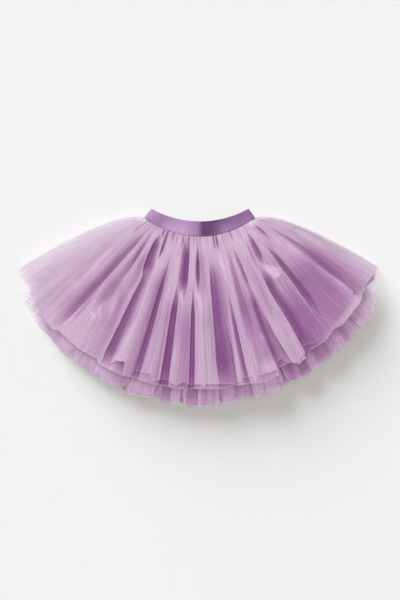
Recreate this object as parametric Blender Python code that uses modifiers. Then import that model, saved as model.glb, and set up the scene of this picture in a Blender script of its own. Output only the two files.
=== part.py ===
"""A girl's tulle skirt, laid flat on its back.

Four layers of tulle are gathered onto one loop of elastic. Each layer has a front and a back panel. The
outer and the second layer make the upper tier, and the under layer and the petticoat the longer lower tier.
X runs across the skirt, +Y towards the waist and +Z up. Lengths are in metres and angles in degrees.
"""

import math
from collections import namedtuple

import bmesh
import bpy
import numpy as np

# Cloth walls
WALL = 0.0012
SEAM_GAP = 0.0003
FRONT_PITCH = 0.0016  # from one front layer's upper face to the next one's
BACK_PITCH = WALL + SEAM_GAP

# Waistband: an elastic loop pressed flat, curved in plan about a point above it
BAND_WALL = 0.0015
BAND_LOWER_RADIUS = 0.1517
BAND_LOWER_HALF_ANGLE = 38.3
BAND_LOWER_CENTRE = (-0.0005, 0.2734)
BAND_UPPER_RADIUS = 0.170
BAND_UPPER_HALF_ANGLE = 29.2
BAND_UPPER_CENTRE = (-0.0002, 0.3169)
BAND_END_SHARE = 0.955  # where the plies start to round into the folds at the loop's two ends
BAND_PLY_STEPS = 22
BAND_FOLD_STEPS = 6
TUCK = 0.005  # how far the tulle reaches up between the plies

# Across the elastic from its lower to its upper edge, and how far the middle of the upper ply is above the
# lower ply's
BandRow = namedtuple("BandRow", "across rise")
BAND_ROWS = (
    BandRow(0.00, 0.0142),
    BandRow(0.30, 0.0142),
    BandRow(0.50, 0.0112),
    BandRow(0.75, 0.0062),
    BandRow(1.00, 0.0026),
)

# Fan: each gather runs on a ray from the band's lower edge to the hem
HEM_RADIUS = 0.3332
HEM_CENTRE = (-0.0010, 0.2040)
RAY_LEAD = 0.42  # how fast a ray leaves the band, against its mean rate
SHOULDER = 0.037  # how far the outermost rays arch towards the waist
SHOULDER_POWER = 4
WAIST_BLEND = 2  # how soon a ray turns from its place on the band to its place on the hem
LENGTH_BLEND = 1.5  # how a layer's length goes from its middle to its sides

# Side edges: a front panel rolls down to the back panel of its own layer, and the lower layer of a tier ends
# inside the upper one's roll
LEAST_ROLL = 0.002
SIDE_POWER = 40  # how closely the drawing in of an inner layer keeps to its side edges
EDGE_POWER = 1.5
EDGE_LEAN = (0.1, 0.6)  # share of a wall that hangs below its side edge, at the band and at the hem
FOLD_FREE_EDGE = 0.3  # share of the roll that is free of folds
FOLD_FADE = 3  # the folds reach their height over this many times that width
LIFT = BAND_WALL + SEAM_GAP  # the back panels step up onto the band's lower ply
LIFT_LENGTH = 0.12

FOLD_STEPS = 4  # columns of faces in each fold
CREST_POWER = 0.7  # under 1 makes a crest broad and a valley narrow
BACK_COLUMNS = 22
BACK_ROWS = (-1, 0.0, 0.06, 0.12, 0.5, 1.0)
LEAST_ROW = 0.03  # rows of points stay this far apart along a ray

# Half-spans of each layer at the band and at the hem, its length at the left side, the middle and the right
# side against the outer layer's, and how wide the roll at its sides is at the band and at the hem
Layer = namedtuple("Layer", "name waist_half hem_half left middle right waist_roll hem_roll")
OUTER = Layer("outer", 36.5, 66.5, 1.000, 1.000, 1.000, 0.007, 0.022)
SECOND = Layer("second", 35.5, 63.7, 1.020, 1.034, 1.030, 0.007, 0.022)
UNDER = Layer("under", 33.0, 59.6, 1.060, 1.118, 1.085, 0.000, 0.0075)
PETTICOAT = Layer("petticoat", 32.4, 57.4, 1.085, 1.146, 1.115, 0.000, 0.000)
LAYERS = (OUTER, SECOND, UNDER, PETTICOAT)

# Heights along a ray: the upper face of each tier in its valleys, and how far its crests rise above that.
# A ray starts inside the band at -1, leaves it at 0 and reaches the outer hem at 1.
Level = namedtuple("Level", "along upper_valley upper_crest lower_valley lower_crest")
LEVELS = (
    Level(-1.00, 0.0139, 0.0000, 0.0107, 0.0000),
    Level(0.00, 0.0139, 0.0000, 0.0107, 0.0000),
    Level(0.05, 0.0145, 0.0030, 0.0102, 0.0005),
    Level(0.15, 0.0165, 0.0065, 0.0096, 0.0020),
    Level(0.32, 0.0190, 0.0105, 0.0093, 0.0045),
    Level(0.55, 0.0205, 0.0135, 0.0093, 0.0065),
    Level(0.80, 0.0215, 0.0150, 0.0093, 0.0080),
    Level(1.00, 0.0220, 0.0160, 0.0093, 0.0085),
    Level(1.20, 0.0220, 0.0160, 0.0093, 0.0095),
)

# Folds from left to right. hem and waist say where the valley on a fold's left meets them, as shares of the
# half-span, depth how far down that valley goes, crest how high the fold's crest stands, and drop how far the
# crest hangs past the hem line.
Fold = namedtuple("Fold", "hem waist depth crest drop")
UPPER_FOLDS = (
    Fold(-1.000, -1.000, 1.0, 0.60, 0.000),
    Fold(-0.905, -0.935, 0.6, 0.75, 0.001),
    Fold(-0.800, -0.850, 0.5, 0.90, 0.000),
    Fold(-0.690, -0.752, 1.0, 0.75, 0.003),
    Fold(-0.610, -0.640, 0.6, 0.95, 0.002),
    Fold(-0.515, -0.570, 0.5, 1.00, 0.004),
    Fold(-0.420, -0.500, 0.9, 0.95, 0.008),
    Fold(-0.300, -0.325, 0.9, 0.85, 0.003),
    Fold(-0.215, -0.235, 0.5, 0.95, 0.003),
    Fold(-0.140, -0.148, 0.8, 0.90, 0.004),
    Fold(-0.030, -0.030, 0.8, 1.00, 0.003),
    Fold(0.100, 0.060, 1.0, 0.80, 0.001),
    Fold(0.180, 0.165, 0.5, 0.85, 0.005),
    Fold(0.244, 0.258, 0.9, 0.85, 0.003),
    Fold(0.305, 0.315, 0.5, 0.90, 0.004),
    Fold(0.365, 0.374, 0.9, 0.90, 0.001),
    Fold(0.435, 0.445, 0.5, 0.95, 0.009),
    Fold(0.505, 0.520, 1.0, 0.85, 0.002),
    Fold(0.600, 0.620, 0.6, 0.90, 0.000),
    Fold(0.720, 0.740, 0.9, 0.75, 0.001),
    Fold(0.790, 0.830, 0.5, 0.80, 0.000),
    Fold(0.856, 0.900, 0.8, 0.60, 0.001),
    Fold(0.935, 0.960, 0.5, 0.45, 0.000),
    Fold(1.000, 1.000, 1.0, 0.00, 0.000),
)
LOWER_FOLDS = (
    Fold(-1.000, -1.000, 1.0, 0.50, 0.001),
    Fold(-0.880, -0.920, 0.8, 0.90, 0.003),
    Fold(-0.760, -0.800, 0.7, 0.80, 0.002),
    Fold(-0.630, -0.680, 1.0, 1.00, 0.007),
    Fold(-0.500, -0.540, 0.7, 0.80, 0.009),
    Fold(-0.370, -0.400, 0.9, 1.00, 0.002),
    Fold(-0.230, -0.250, 0.7, 0.90, 0.004),
    Fold(-0.095, -0.100, 1.0, 1.00, 0.005),
    Fold(0.110, 0.100, 1.0, 0.90, 0.003),
    Fold(0.245, 0.260, 0.8, 1.00, 0.002),
    Fold(0.420, 0.440, 1.0, 0.80, 0.005),
    Fold(0.540, 0.570, 0.6, 0.90, 0.002),
    Fold(0.660, 0.700, 0.9, 1.00, 0.003),
    Fold(0.780, 0.820, 0.7, 0.80, 0.002),
    Fold(0.890, 0.930, 0.9, 0.50, 0.001),
    Fold(1.000, 1.000, 1.0, 0.00, 0.000),
)

# Colour, roughness and sheen of the two cloths
TULLE_COLOUR = (0.48, 0.27, 0.50, 1.0)
ELASTIC_COLOUR = (0.30, 0.17, 0.36, 1.0)
TULLE_ROUGHNESS = 0.6
ELASTIC_ROUGHNESS = 0.4
SHEEN = 0.3


def on_arc(centre, radius, angle):
    """Points at an angle from straight down on a circle in plan, the angle in degrees."""
    turn = np.radians(angle)
    return np.stack((centre[0] + radius * np.sin(turn), centre[1] - radius * np.cos(turn)), axis=-1)


def waist_angle(waist_half, share):
    """Where a share of the half-span sits on the band: gathers crowd towards the loop's ends."""
    return waist_half * np.sin(np.radians(90) * share)


def plan(waist_share, hem_share, along, layer, inner):
    """Points in plan on a layer's rays, from the band at 0 to the hem at 1.

    A negative along lies inside the band. The shares are of the half-span, at the band and at the hem. An
    inner layer has the same rays, drawn in towards the hem at the sides.
    """
    outside = np.maximum(along, 0)
    share = hem_share + (waist_share - hem_share) * np.clip(1 - outside, 0, 1) ** WAIST_BLEND
    at_waist = waist_angle(layer.waist_half, share)
    drawn_in = (layer.hem_half - inner.hem_half) * np.clip(along, 0, 1) * np.abs(share) ** SIDE_POWER
    at_hem = layer.hem_half * share - np.sign(share) * drawn_in
    tucked = on_arc(BAND_LOWER_CENTRE, BAND_LOWER_RADIUS - TUCK, at_waist)
    waist = on_arc(BAND_LOWER_CENTRE, BAND_LOWER_RADIUS, at_waist)
    hem = on_arc(HEM_CENTRE, HEM_RADIUS, at_hem)
    point = waist + (hem - waist) * outside[..., None]
    point[..., 1] += arch(share, outside)
    return np.where((along < 0)[..., None], tucked, point)


def arch(share, along):
    """How far a ray bows towards the waist: most near the sides, and soon after it leaves the band."""
    step = (np.sqrt(RAY_LEAD**2 + 4 * (1 - RAY_LEAD) * along) - RAY_LEAD) / (2 * (1 - RAY_LEAD))
    return 2 * step * (1 - step) * SHOULDER * np.abs(share) ** SHOULDER_POWER


def rounded(share):
    """Quarter of an ellipse: 0 at a side edge, upright there, and 1 where the cloth is level."""
    return np.sqrt(1 - (1 - np.clip(share, 0, 1)) ** 2)


def eased(share):
    """A step from 0 to 1 with level ends."""
    share = np.clip(share, 0, 1)
    return share * share * (3 - 2 * share)


def fold_columns(folds):
    """A row for each column of points: waist and hem share, height as a share of the crest, and drop."""
    columns = []
    for fold, following in zip(folds, folds[1:]):
        for step in range(FOLD_STEPS):
            part = step / FOLD_STEPS
            if fold is folds[0]:
                part = part**2
            elif following is folds[-1]:
                part = 1 - (1 - part) ** 2
            swell = math.sin(math.pi * part) ** CREST_POWER
            valley = 1 - (fold.depth + (following.depth - fold.depth) * part)
            columns.append((
                fold.waist + (following.waist - fold.waist) * part,
                fold.hem + (following.hem - fold.hem) * part,
                valley * fold.crest + (1 - valley) * fold.crest * swell,
                fold.drop * swell,
            ))
    columns.append((folds[-1].waist, folds[-1].hem, 0.0, 0.0))
    return np.array(columns)


def layer_length(layer, share):
    """A layer's length along the rays, against the outer layer's."""
    side = np.where(share < 0, layer.left, layer.right)
    return layer.middle + (side - layer.middle) * np.abs(share) ** LENGTH_BLEND


def lift(along):
    """How far a back panel is stepped up towards the band."""
    return LIFT * (1 - eased(along / LIFT_LENGTH))


def front_points(layer, base, inner, folds):
    """Rows of points on a front panel's upper face, from the band to the hem.

    The rows are the layer's. The form is that of base, the upper layer of its tier, with the sides of inner.
    """
    waist_share, hem_share, height, drop = fold_columns(folds).T
    last = layer_length(base, hem_share) + drop / (HEM_RADIUS - TUCK)
    rows = [0 * last + level.along for level in LEVELS if level.along < last.min() - LEAST_ROW]
    rows.append(last)
    if layer is not base:
        rows.append(last + layer_length(layer, hem_share) - layer_length(base, hem_share))
    along = np.array(rows)
    flat = plan(waist_share + 0 * along, hem_share + 0 * along, along, base, base)
    side = np.minimum(
        np.linalg.norm(flat - flat[:, :1], axis=2),
        np.linalg.norm(flat - flat[:, -1:], axis=2),
    )
    flat = plan(waist_share + 0 * along, hem_share + 0 * along, along, base, inner)
    levels = np.array(LEVELS).T
    tier = 1 if base is OUTER else 3
    valley = np.interp(along, levels[0], levels[tier])
    crest = np.interp(along, levels[0], levels[tier + 1])
    outside = np.clip(along, 0, 1)
    roll = base.waist_roll + (base.hem_roll - base.waist_roll) * outside
    rise = rounded(side / np.maximum(roll, LEAST_ROLL))
    shut = eased(roll / LEAST_ROLL - 1)
    edge = valley - (valley - edge_level(base, along)) * shut
    inner_edge = valley - (valley - np.minimum(edge_level(inner, along), valley)) * shut
    free = np.maximum(FOLD_FREE_EDGE * roll, LEAST_ROLL)
    swell = eased((side - free) / (FOLD_FADE * free))
    level = edge + (valley - edge) * rise + (inner_edge - edge) * (1 - rise) ** EDGE_POWER
    level += crest * height * swell
    return np.concatenate((flat, level[..., None]), axis=2)


def edge_level(layer, along):
    """The upper face of a front panel at its side edge, just above the layer's back panel.

    A wall stands upright there near the band, and leans more towards the hem, where its lower face hangs
    lower. An inner layer is moved in afterwards, and so starts higher.
    """
    lean = np.interp(along, (0, 1), EDGE_LEAN)
    if layer in (UNDER, PETTICOAT):
        lean = 1.0
    level = BACK_PITCH * (LAYERS.index(layer) + 1) + lift(along) + WALL * lean
    if layer in (SECOND, PETTICOAT):
        level = level + FRONT_PITCH * lean
    return level


def back_points(layer):
    """Rows of points on a back panel's upper face: flat, and stepped up onto the band's lower ply."""
    share = np.linspace(-1, 1, BACK_COLUMNS + 1)
    along = np.array(BACK_ROWS)[:, None] + 0 * share
    along = np.where(along == 1, layer_length(layer, share), along)
    flat = plan(share + 0 * along, share + 0 * along, along, layer, layer)
    level = BACK_PITCH * LAYERS.index(layer) + WALL + lift(along)
    return np.concatenate((flat, level[..., None]), axis=2)


def band_points():
    """Rows of points on the middle of the elastic's wall, each row once round the loop."""
    ends = np.linspace(90, -90, BAND_FOLD_STEPS + 1)
    plies = np.linspace(-BAND_END_SHARE, BAND_END_SHARE, BAND_PLY_STEPS + 1)
    ring = [(share, 1.0) for share in plies[:-1]]
    ring += [
        (BAND_END_SHARE + (1 - BAND_END_SHARE) * math.cos(turn), math.sin(turn))
        for turn in np.radians(ends)
    ]
    ring += [(share, -1.0) for share in plies[-2:0:-1]]
    ring += [
        (-BAND_END_SHARE - (1 - BAND_END_SHARE) * math.cos(turn), math.sin(turn))
        for turn in np.radians(ends[::-1])
    ]
    ring = np.array(ring[:-1])
    rows = []
    for row in BAND_ROWS:
        lower = on_arc(BAND_LOWER_CENTRE, BAND_LOWER_RADIUS, BAND_LOWER_HALF_ANGLE * ring[:, 0])
        upper = on_arc(BAND_UPPER_CENTRE, BAND_UPPER_RADIUS, BAND_UPPER_HALF_ANGLE * ring[:, 0])
        flat = lower + (upper - lower) * row.across
        half_rise = row.rise / 2
        level = BAND_WALL / 2 + half_rise * (1 + ring[:, 1])
        rows.append(np.column_stack((flat, level)))
    return np.array(rows)


def cloth_material(name, colour, roughness):
    material = bpy.data.materials.new(name)
    material.use_nodes = True
    shader = material.node_tree.nodes["Principled BSDF"]
    shader.inputs["Base Color"].default_value = colour
    shader.inputs["Roughness"].default_value = roughness
    shader.inputs["Metallic"].default_value = 0.0
    shader.inputs["Sheen Weight"].default_value = SHEEN
    return material


def panel(name, points, material, collection):
    """A cloth wall under a grid of points, given as rows from the band to the hem."""
    rows, columns = points.shape[0] - 1, points.shape[1] - 1
    mesh = bpy.data.meshes.new(name)
    shape = bmesh.new()
    bmesh.ops.create_grid(shape, x_segments=columns, y_segments=rows, size=1)
    for vert in shape.verts:
        column = round((vert.co.x + 1) / 2 * columns)
        row = round((1 - vert.co.y) / 2 * rows)
        vert.co = points[row, column]
    # Both faces of a wall, and the panels under it, are split along the same diagonals.
    bmesh.ops.triangulate(shape, faces=shape.faces, quad_method="FIXED")
    shape.to_mesh(mesh)
    shape.free()
    return cloth_object(name, mesh, material, collection, WALL, -1)


def cloth_object(name, mesh, material, collection, wall, offset):
    mesh.materials.append(material)
    mesh.shade_smooth()
    obj = bpy.data.objects.new(name, mesh)
    collection.objects.link(obj)
    solidify = obj.modifiers.new("Wall", "SOLIDIFY")
    solidify.thickness = wall
    solidify.offset = offset
    return obj


def moved_in(obj, points, distance):
    """A panel's points moved by a distance against its normals. A grid's vertices run from the hem up."""
    normals = np.array([vertex.vector for vertex in obj.data.vertex_normals])
    return points - distance * normals.reshape(points.shape)[::-1]


def front_pair(upper, inner, folds, material, collection):
    """The two front panels of a tier: the inner one lies under the upper one's folds."""
    panel(upper.name + "_front", front_points(upper, upper, upper, folds), material, collection)
    guide = panel("guide", front_points(inner, upper, upper, folds), material, collection)
    points = moved_in(guide, front_points(inner, upper, inner, folds), FRONT_PITCH)
    bpy.data.objects.remove(guide)
    panel(inner.name + "_front", points, material, collection)


def waistband(material, collection):
    points = band_points()
    rows, columns = points.shape[:2]
    mesh = bpy.data.meshes.new("waistband")
    shape = bmesh.new()
    rings = [[shape.verts.new(point) for point in row] for row in points]
    for lower, upper in zip(rings, rings[1:]):
        for column in range(columns):
            following = (column + 1) % columns
            shape.faces.new((lower[column], lower[following], upper[following], upper[column]))
    bmesh.ops.recalc_face_normals(shape, faces=shape.faces)
    shape.to_mesh(mesh)
    shape.free()
    cloth_object("waistband", mesh, material, collection, BAND_WALL, 0)


def centre_on_origin(collection):
    """Moves the middle of the skirt's outline in plan to the origin. Its underside is at zero."""
    bpy.context.view_layer.update()
    graph = bpy.context.evaluated_depsgraph_get()
    solids = [obj.evaluated_get(graph) for obj in collection.objects]
    corners = np.array([corner for solid in solids for corner in solid.bound_box])
    middle = (corners.min(axis=0) + corners.max(axis=0)) / 2
    for obj in collection.objects:
        obj.location = (-middle[0], -middle[1], 0)


def main():
    for obj in list(bpy.data.objects):
        bpy.data.objects.remove(obj)
    collection = bpy.data.collections.new("tulle_skirt")
    bpy.context.scene.collection.children.link(collection)
    tulle = cloth_material("tulle", TULLE_COLOUR, TULLE_ROUGHNESS)
    elastic = cloth_material("elastic", ELASTIC_COLOUR, ELASTIC_ROUGHNESS)
    waistband(elastic, collection)
    for layer in LAYERS:
        panel(layer.name + "_back", back_points(layer), tulle, collection)
    front_pair(OUTER, SECOND, UPPER_FOLDS, tulle, collection)
    front_pair(UNDER, PETTICOAT, LOWER_FOLDS, tulle, collection)
    centre_on_origin(collection)


main()
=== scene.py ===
"""Finish of a girl's tulle skirt, laid flat on its back.

Four layers of tulle are gathered onto an elastic waistband, each with a front and a back panel. X runs
across the skirt, +Y towards the waist and +Z up. Lengths are in metres and angles in degrees.
"""

import math
from collections import namedtuple

import bpy
import numpy as np
from bpy.props import FloatProperty, FloatVectorProperty, IntProperty, PointerProperty
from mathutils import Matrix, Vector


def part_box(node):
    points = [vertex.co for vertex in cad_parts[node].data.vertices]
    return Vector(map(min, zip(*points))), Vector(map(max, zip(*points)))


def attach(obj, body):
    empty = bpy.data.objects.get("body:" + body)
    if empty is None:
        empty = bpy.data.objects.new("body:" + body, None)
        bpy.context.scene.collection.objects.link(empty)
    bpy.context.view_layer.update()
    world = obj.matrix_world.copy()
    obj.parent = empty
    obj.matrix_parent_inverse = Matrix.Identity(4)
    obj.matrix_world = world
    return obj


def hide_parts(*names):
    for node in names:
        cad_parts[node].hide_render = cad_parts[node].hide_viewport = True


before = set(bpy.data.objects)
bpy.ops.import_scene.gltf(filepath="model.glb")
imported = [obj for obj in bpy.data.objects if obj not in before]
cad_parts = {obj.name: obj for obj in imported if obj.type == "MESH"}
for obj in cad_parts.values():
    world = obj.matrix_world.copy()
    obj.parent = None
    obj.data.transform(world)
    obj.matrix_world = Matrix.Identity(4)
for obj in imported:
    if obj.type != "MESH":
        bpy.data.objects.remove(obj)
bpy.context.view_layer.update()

bl_info = {
    "name": "Tulle Skirt",
    "version": (1, 0, 0),
    "blender": (4, 5, 0),
    "location": "3D View > Sidebar > Skirt",
    "description": "Builds the tulle panels, the elastic waistband and the stage of a laid-out skirt",
    "category": "Object",
}

# Fan: each gather runs on a ray from the band's lower edge, where it is tucked in, to the hem. The edges
# of the band and the hem are arcs, and the rays bow out at the shoulders.
BAND_LOWER_RADIUS = 0.1517
BAND_LOWER_HALF_ANGLE = 38.3
BAND_LOWER_CENTRE = (-0.0005, 0.2734)
BAND_UPPER_RADIUS = 0.170
BAND_UPPER_HALF_ANGLE = 29.2
BAND_UPPER_CENTRE = (-0.0002, 0.3178)
TUCK = 0.005  # how far the tulle goes in behind the band's lower edge
HEM_RADIUS = 0.3332
HEM_CENTRE = (-0.0010, 0.2040)
RAY_LEAD = 0.42  # below 1, a ray bows most nearer to the band
SHOULDER = 0.037  # twice how far the outermost rays bow
SHOULDER_POWER = 4  # the higher, the fewer rays bow
WAIST_BLEND = 2  # the higher, the sooner the rays' spacing at the band gives way to that at the hem
SIDE_POWER = 40  # the higher, the closer to its side an inner panel is narrower than the outer one

# How far the middle of the skirt's outline is from the point that the arcs are drawn from
_low, _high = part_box("outer_back")
MIDDLE = np.array((
    (_low.x + _high.x) / 2 - HEM_CENTRE[0],
    _low.y - (HEM_CENTRE[1] - HEM_RADIUS),
))

# Half-spans at the band and at the hem, the back panel's place in the stack, how wide the roll at the
# front's sides is at the band and at the hem, and the front's columns, rows and painted brightness:
# painted shade makes the second layer darker and painted light makes the lower tier lighter
Layer = namedtuple("Layer", "name waist_half hem_half level waist_roll hem_roll columns rows tint")
OUTER = Layer("outer", 37.2, 66.5, 0, 0.005, 0.036, 880, 110, 1.0)
SECOND = Layer("second", 36.2, 63.7, 1, 0.005, 0.036, 620, 90, 0.90)
UNDER = Layer("under", 33.0, 59.6, 2, 0.002, 0.0075, 620, 80, 1.28)
PETTICOAT = Layer("petticoat", 32.4, 57.4, 3, 0.002, 0.0075, 620, 80, 1.28)
LAYERS = (OUTER, SECOND, UNDER, PETTICOAT)

BACK_COLUMNS = 300
BACK_ROWS = 50
# Painted shade: the back panels' tulle is made this much darker
BACK_PAINTED_BRIGHTNESS = 0.9
BACK_SHORTER = 0.012  # a back panel's hem against its front's, which it mirrors
BACK_SEED = 40
BACK_RIPPLE = 0.00022
# Painted shade over a back panel, and how far it varies with the panel's ripples
BACK_SHADE = 0.25
BACK_SHADE_RIPPLE = 0.2

PLY_PITCH = 0.0015  # from one back panel to the next
PLY_LEVEL = 0.0006  # the lowest back panel above the surface
FRONT_GAP = 0.0013  # an inner front panel below the outer one of its tier
EDGE_LIFT = 0.0002  # a front panel's side edges above the back panel that they lie on
BAND_LIFT = 0.0018  # the back panels step up onto the band's lower ply
BAND_LIFT_LENGTH = 0.12

# Where the rays meet the band and the hem, as shares of the half-span
RAY_HEM = (-1, -0.8, -0.61, -0.42, -0.3, -0.14, 0.1, 0.244, 0.365, 0.505, 0.6, 0.72, 0.856, 1)
RAY_WAIST = (-1, -0.85, -0.64, -0.5, -0.325, -0.148, 0.06, 0.258, 0.374, 0.52, 0.62, 0.74, 0.9, 1)

# Heights along a ray, from the band at 0 to the outer hem at 1: a tier's tops and its crease floors
Level = namedtuple("Level", "along upper_top upper_floor lower_top lower_floor")
LEVELS = (
    Level(-1.00, 0.0126, 0.0122, 0.0098, 0.0092),
    Level(0.00, 0.0150, 0.0128, 0.0100, 0.0092),
    Level(0.006, 0.0168, 0.0130, 0.0102, 0.0092),
    Level(0.02, 0.0180, 0.0130, 0.0104, 0.0092),
    Level(0.05, 0.0194, 0.0130, 0.0106, 0.0092),
    Level(0.15, 0.0238, 0.0132, 0.0108, 0.0090),
    Level(0.32, 0.0298, 0.0140, 0.0110, 0.0088),
    Level(0.55, 0.0342, 0.0148, 0.0112, 0.0088),
    Level(0.80, 0.0368, 0.0158, 0.0124, 0.0088),
    Level(0.95, 0.0378, 0.0166, 0.0140, 0.0088),
    Level(1.05, 0.0380, 0.0170, 0.0164, 0.0088),
    Level(1.20, 0.0380, 0.0170, 0.0176, 0.0086),
)

# Creases from left to right. Each starts and ends at a distance along the rays, and lies at a share of
# the half-span at its start, middle and end. left and right are how wide its two slopes are at the hem,
# floor how wide it is between them, depth its share of the height between floor and top, and dark how
# much painted shade it has; the shallow ones are mostly painted shade. It gets shallower over the taper
# before its ends.
TAPER = 0.10
SOFT_TAPER = 0.30
BEYOND_HEM = 1.15  # a crease that ends farther out than this is as deep at the hem as before it
HEM_EASE = 0.22  # but its painted shade gets this much lighter at the cut edge
HEM_EASE_LENGTH = 0.1  # as a share of the panel's
END_WIDTH = 0.2  # how much of a crease's width is left at its ends
Crease = namedtuple(
    "Crease", "start end first middle last left right floor depth dark taper", defaults=(TAPER,)
)
UPPER_CREASES = (
    Crease(0.02, 1.20, -0.735, -0.835, -0.885, 0.050, 0.035, 0.000, 0.08, 0.04, 0.30),
    Crease(-0.05, 1.10, -0.590, -0.645, -0.688, 0.050, 0.006, 0.002, 0.42, 0.60, 0.30),
    Crease(0.00, 0.90, -0.574, -0.646, -0.680, 0.016, 0.004, 0.004, 0.18, 0.36, 0.30),
    Crease(-0.05, 0.80, -0.494, -0.542, -0.598, 0.020, 0.016, 0.002, 0.30, 0.30, 0.18),
    Crease(0.06, 0.52, -0.498, -0.524, -0.545, 0.008, 0.004, 0.002, 0.20, 0.34, 0.16),
    Crease(0.10, 0.38, -0.520, -0.524, -0.528, 0.014, 0.010, 0.004, 0.16, 0.44, 0.12),
    Crease(0.08, 0.46, -0.620, -0.634, -0.645, 0.016, 0.010, 0.004, 0.10, 0.24, 0.16),
    Crease(0.26, 1.20, -0.494, -0.500, -0.470, 0.034, 0.034, 0.012, 0.05, 0.22, 0.30),
    Crease(0.10, 0.60, -0.438, -0.450, -0.470, 0.030, 0.014, 0.010, 0.06, 0.38, 0.20),
    Crease(0.00, 0.42, -0.388, -0.404, -0.384, 0.006, 0.030, 0.020, 0.72, 0.90, 0.14),
    Crease(0.22, 1.12, -0.376, -0.418, -0.436, 0.005, 0.024, 0.010, 0.34, 0.84, 0.22),
    Crease(0.05, 1.20, -0.249, -0.267, -0.284, 0.009, 0.004, 0.008, 0.46, 0.92, 0.40),
    Crease(0.10, 1.20, -0.254, -0.274, -0.292, 0.062, 0.003, 0.000, 0.14, 0.48, 0.30),
    Crease(0.30, 1.20, -0.196, -0.188, -0.184, 0.024, 0.004, 0.000, 0.06, 0.20, 0.30),
    Crease(-0.05, 0.48, -0.104, -0.092, -0.100, 0.018, 0.004, 0.009, 0.74, 0.98, 0.20),
    Crease(-0.05, 0.46, -0.150, -0.126, -0.132, 0.018, 0.014, 0.010, 0.44, 0.80, 0.18),
    Crease(0.26, 1.20, -0.152, -0.157, -0.154, 0.005, 0.003, 0.016, 0.46, 1.00, 0.28),
    Crease(0.35, 1.20, -0.100, -0.086, -0.080, 0.014, 0.022, 0.010, 0.05, 0.24, 0.25),
    Crease(0.00, 0.42, 0.006, 0.007, 0.004, 0.012, 0.006, 0.006, 0.70, 0.88, 0.18),
    Crease(0.28, 1.20, -0.036, -0.035, -0.034, 0.003, 0.003, 0.010, 0.46, 0.98, 0.28),
    Crease(0.35, 1.20, -0.046, -0.044, -0.042, 0.026, 0.003, 0.000, 0.08, 0.22, 0.30),
    Crease(0.00, 0.50, 0.040, 0.038, 0.034, 0.034, 0.030, 0.010, 0.05, 0.30, 0.18),
    Crease(0.06, 1.14, 0.114, 0.104, 0.097, 0.006, 0.044, 0.010, 0.44, 0.84, 0.30),
    Crease(0.02, 0.76, 0.142, 0.146, 0.142, 0.030, 0.050, 0.020, 0.05, 0.26, 0.30),
    Crease(0.52, 1.20, 0.152, 0.147, 0.143, 0.034, 0.005, 0.016, 0.36, 0.60, 0.30),
    Crease(0.02, 0.78, 0.260, 0.270, 0.292, 0.018, 0.010, 0.002, 0.35, 0.38, 0.25),
    Crease(0.36, 1.20, 0.200, 0.207, 0.215, 0.010, 0.003, 0.004, 0.40, 0.82, 0.30),
    Crease(0.06, 0.50, 0.312, 0.342, 0.350, 0.014, 0.006, 0.003, 0.42, 0.56, 0.18),
    Crease(0.25, 1.20, 0.258, 0.286, 0.300, 0.030, 0.040, 0.016, 0.05, 0.28, 0.30),
    Crease(0.36, 1.20, 0.341, 0.352, 0.364, 0.010, 0.024, 0.004, 0.50, 0.92, 0.20),
    Crease(0.50, 1.20, 0.358, 0.394, 0.440, 0.028, 0.003, 0.004, 0.26, 0.52, 0.30),
    Crease(0.02, 0.42, 0.500, 0.462, 0.474, 0.008, 0.012, 0.001, 0.30, 0.22, 0.18),
    Crease(0.26, 1.20, 0.470, 0.494, 0.499, 0.003, 0.030, 0.012, 0.50, 0.98, 0.22),
    Crease(0.45, 1.20, 0.560, 0.572, 0.580, 0.040, 0.034, 0.020, 0.05, 0.52, 0.30),
    Crease(0.02, 0.38, 0.545, 0.534, 0.506, 0.020, 0.010, 0.006, 0.60, 0.76, 0.14),
    Crease(0.16, 0.95, 0.628, 0.633, 0.642, 0.003, 0.016, 0.005, 0.74, 0.74, 0.25),
    Crease(0.28, 1.20, 0.636, 0.638, 0.648, 0.003, 0.060, 0.010, 0.30, 0.38, 0.40),
    Crease(0.02, 0.24, 0.690, 0.708, 0.702, 0.010, 0.012, 0.001, 0.50, 0.34),
    Crease(0.26, 1.20, 0.715, 0.735, 0.750, 0.050, 0.040, 0.030, 0.05, 0.44, 0.35),
    Crease(0.05, 1.10, 0.796, 0.828, 0.838, 0.006, 0.016, 0.006, 0.34, 0.44, 0.40),
    Crease(0.24, 1.20, 0.812, 0.836, 0.842, 0.006, 0.040, 0.010, 0.20, 0.50, 0.44),
    Crease(0.36, 1.20, 0.880, 0.905, 0.925, 0.034, 0.024, 0.000, 0.10, 0.14, 0.40),
)
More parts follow.
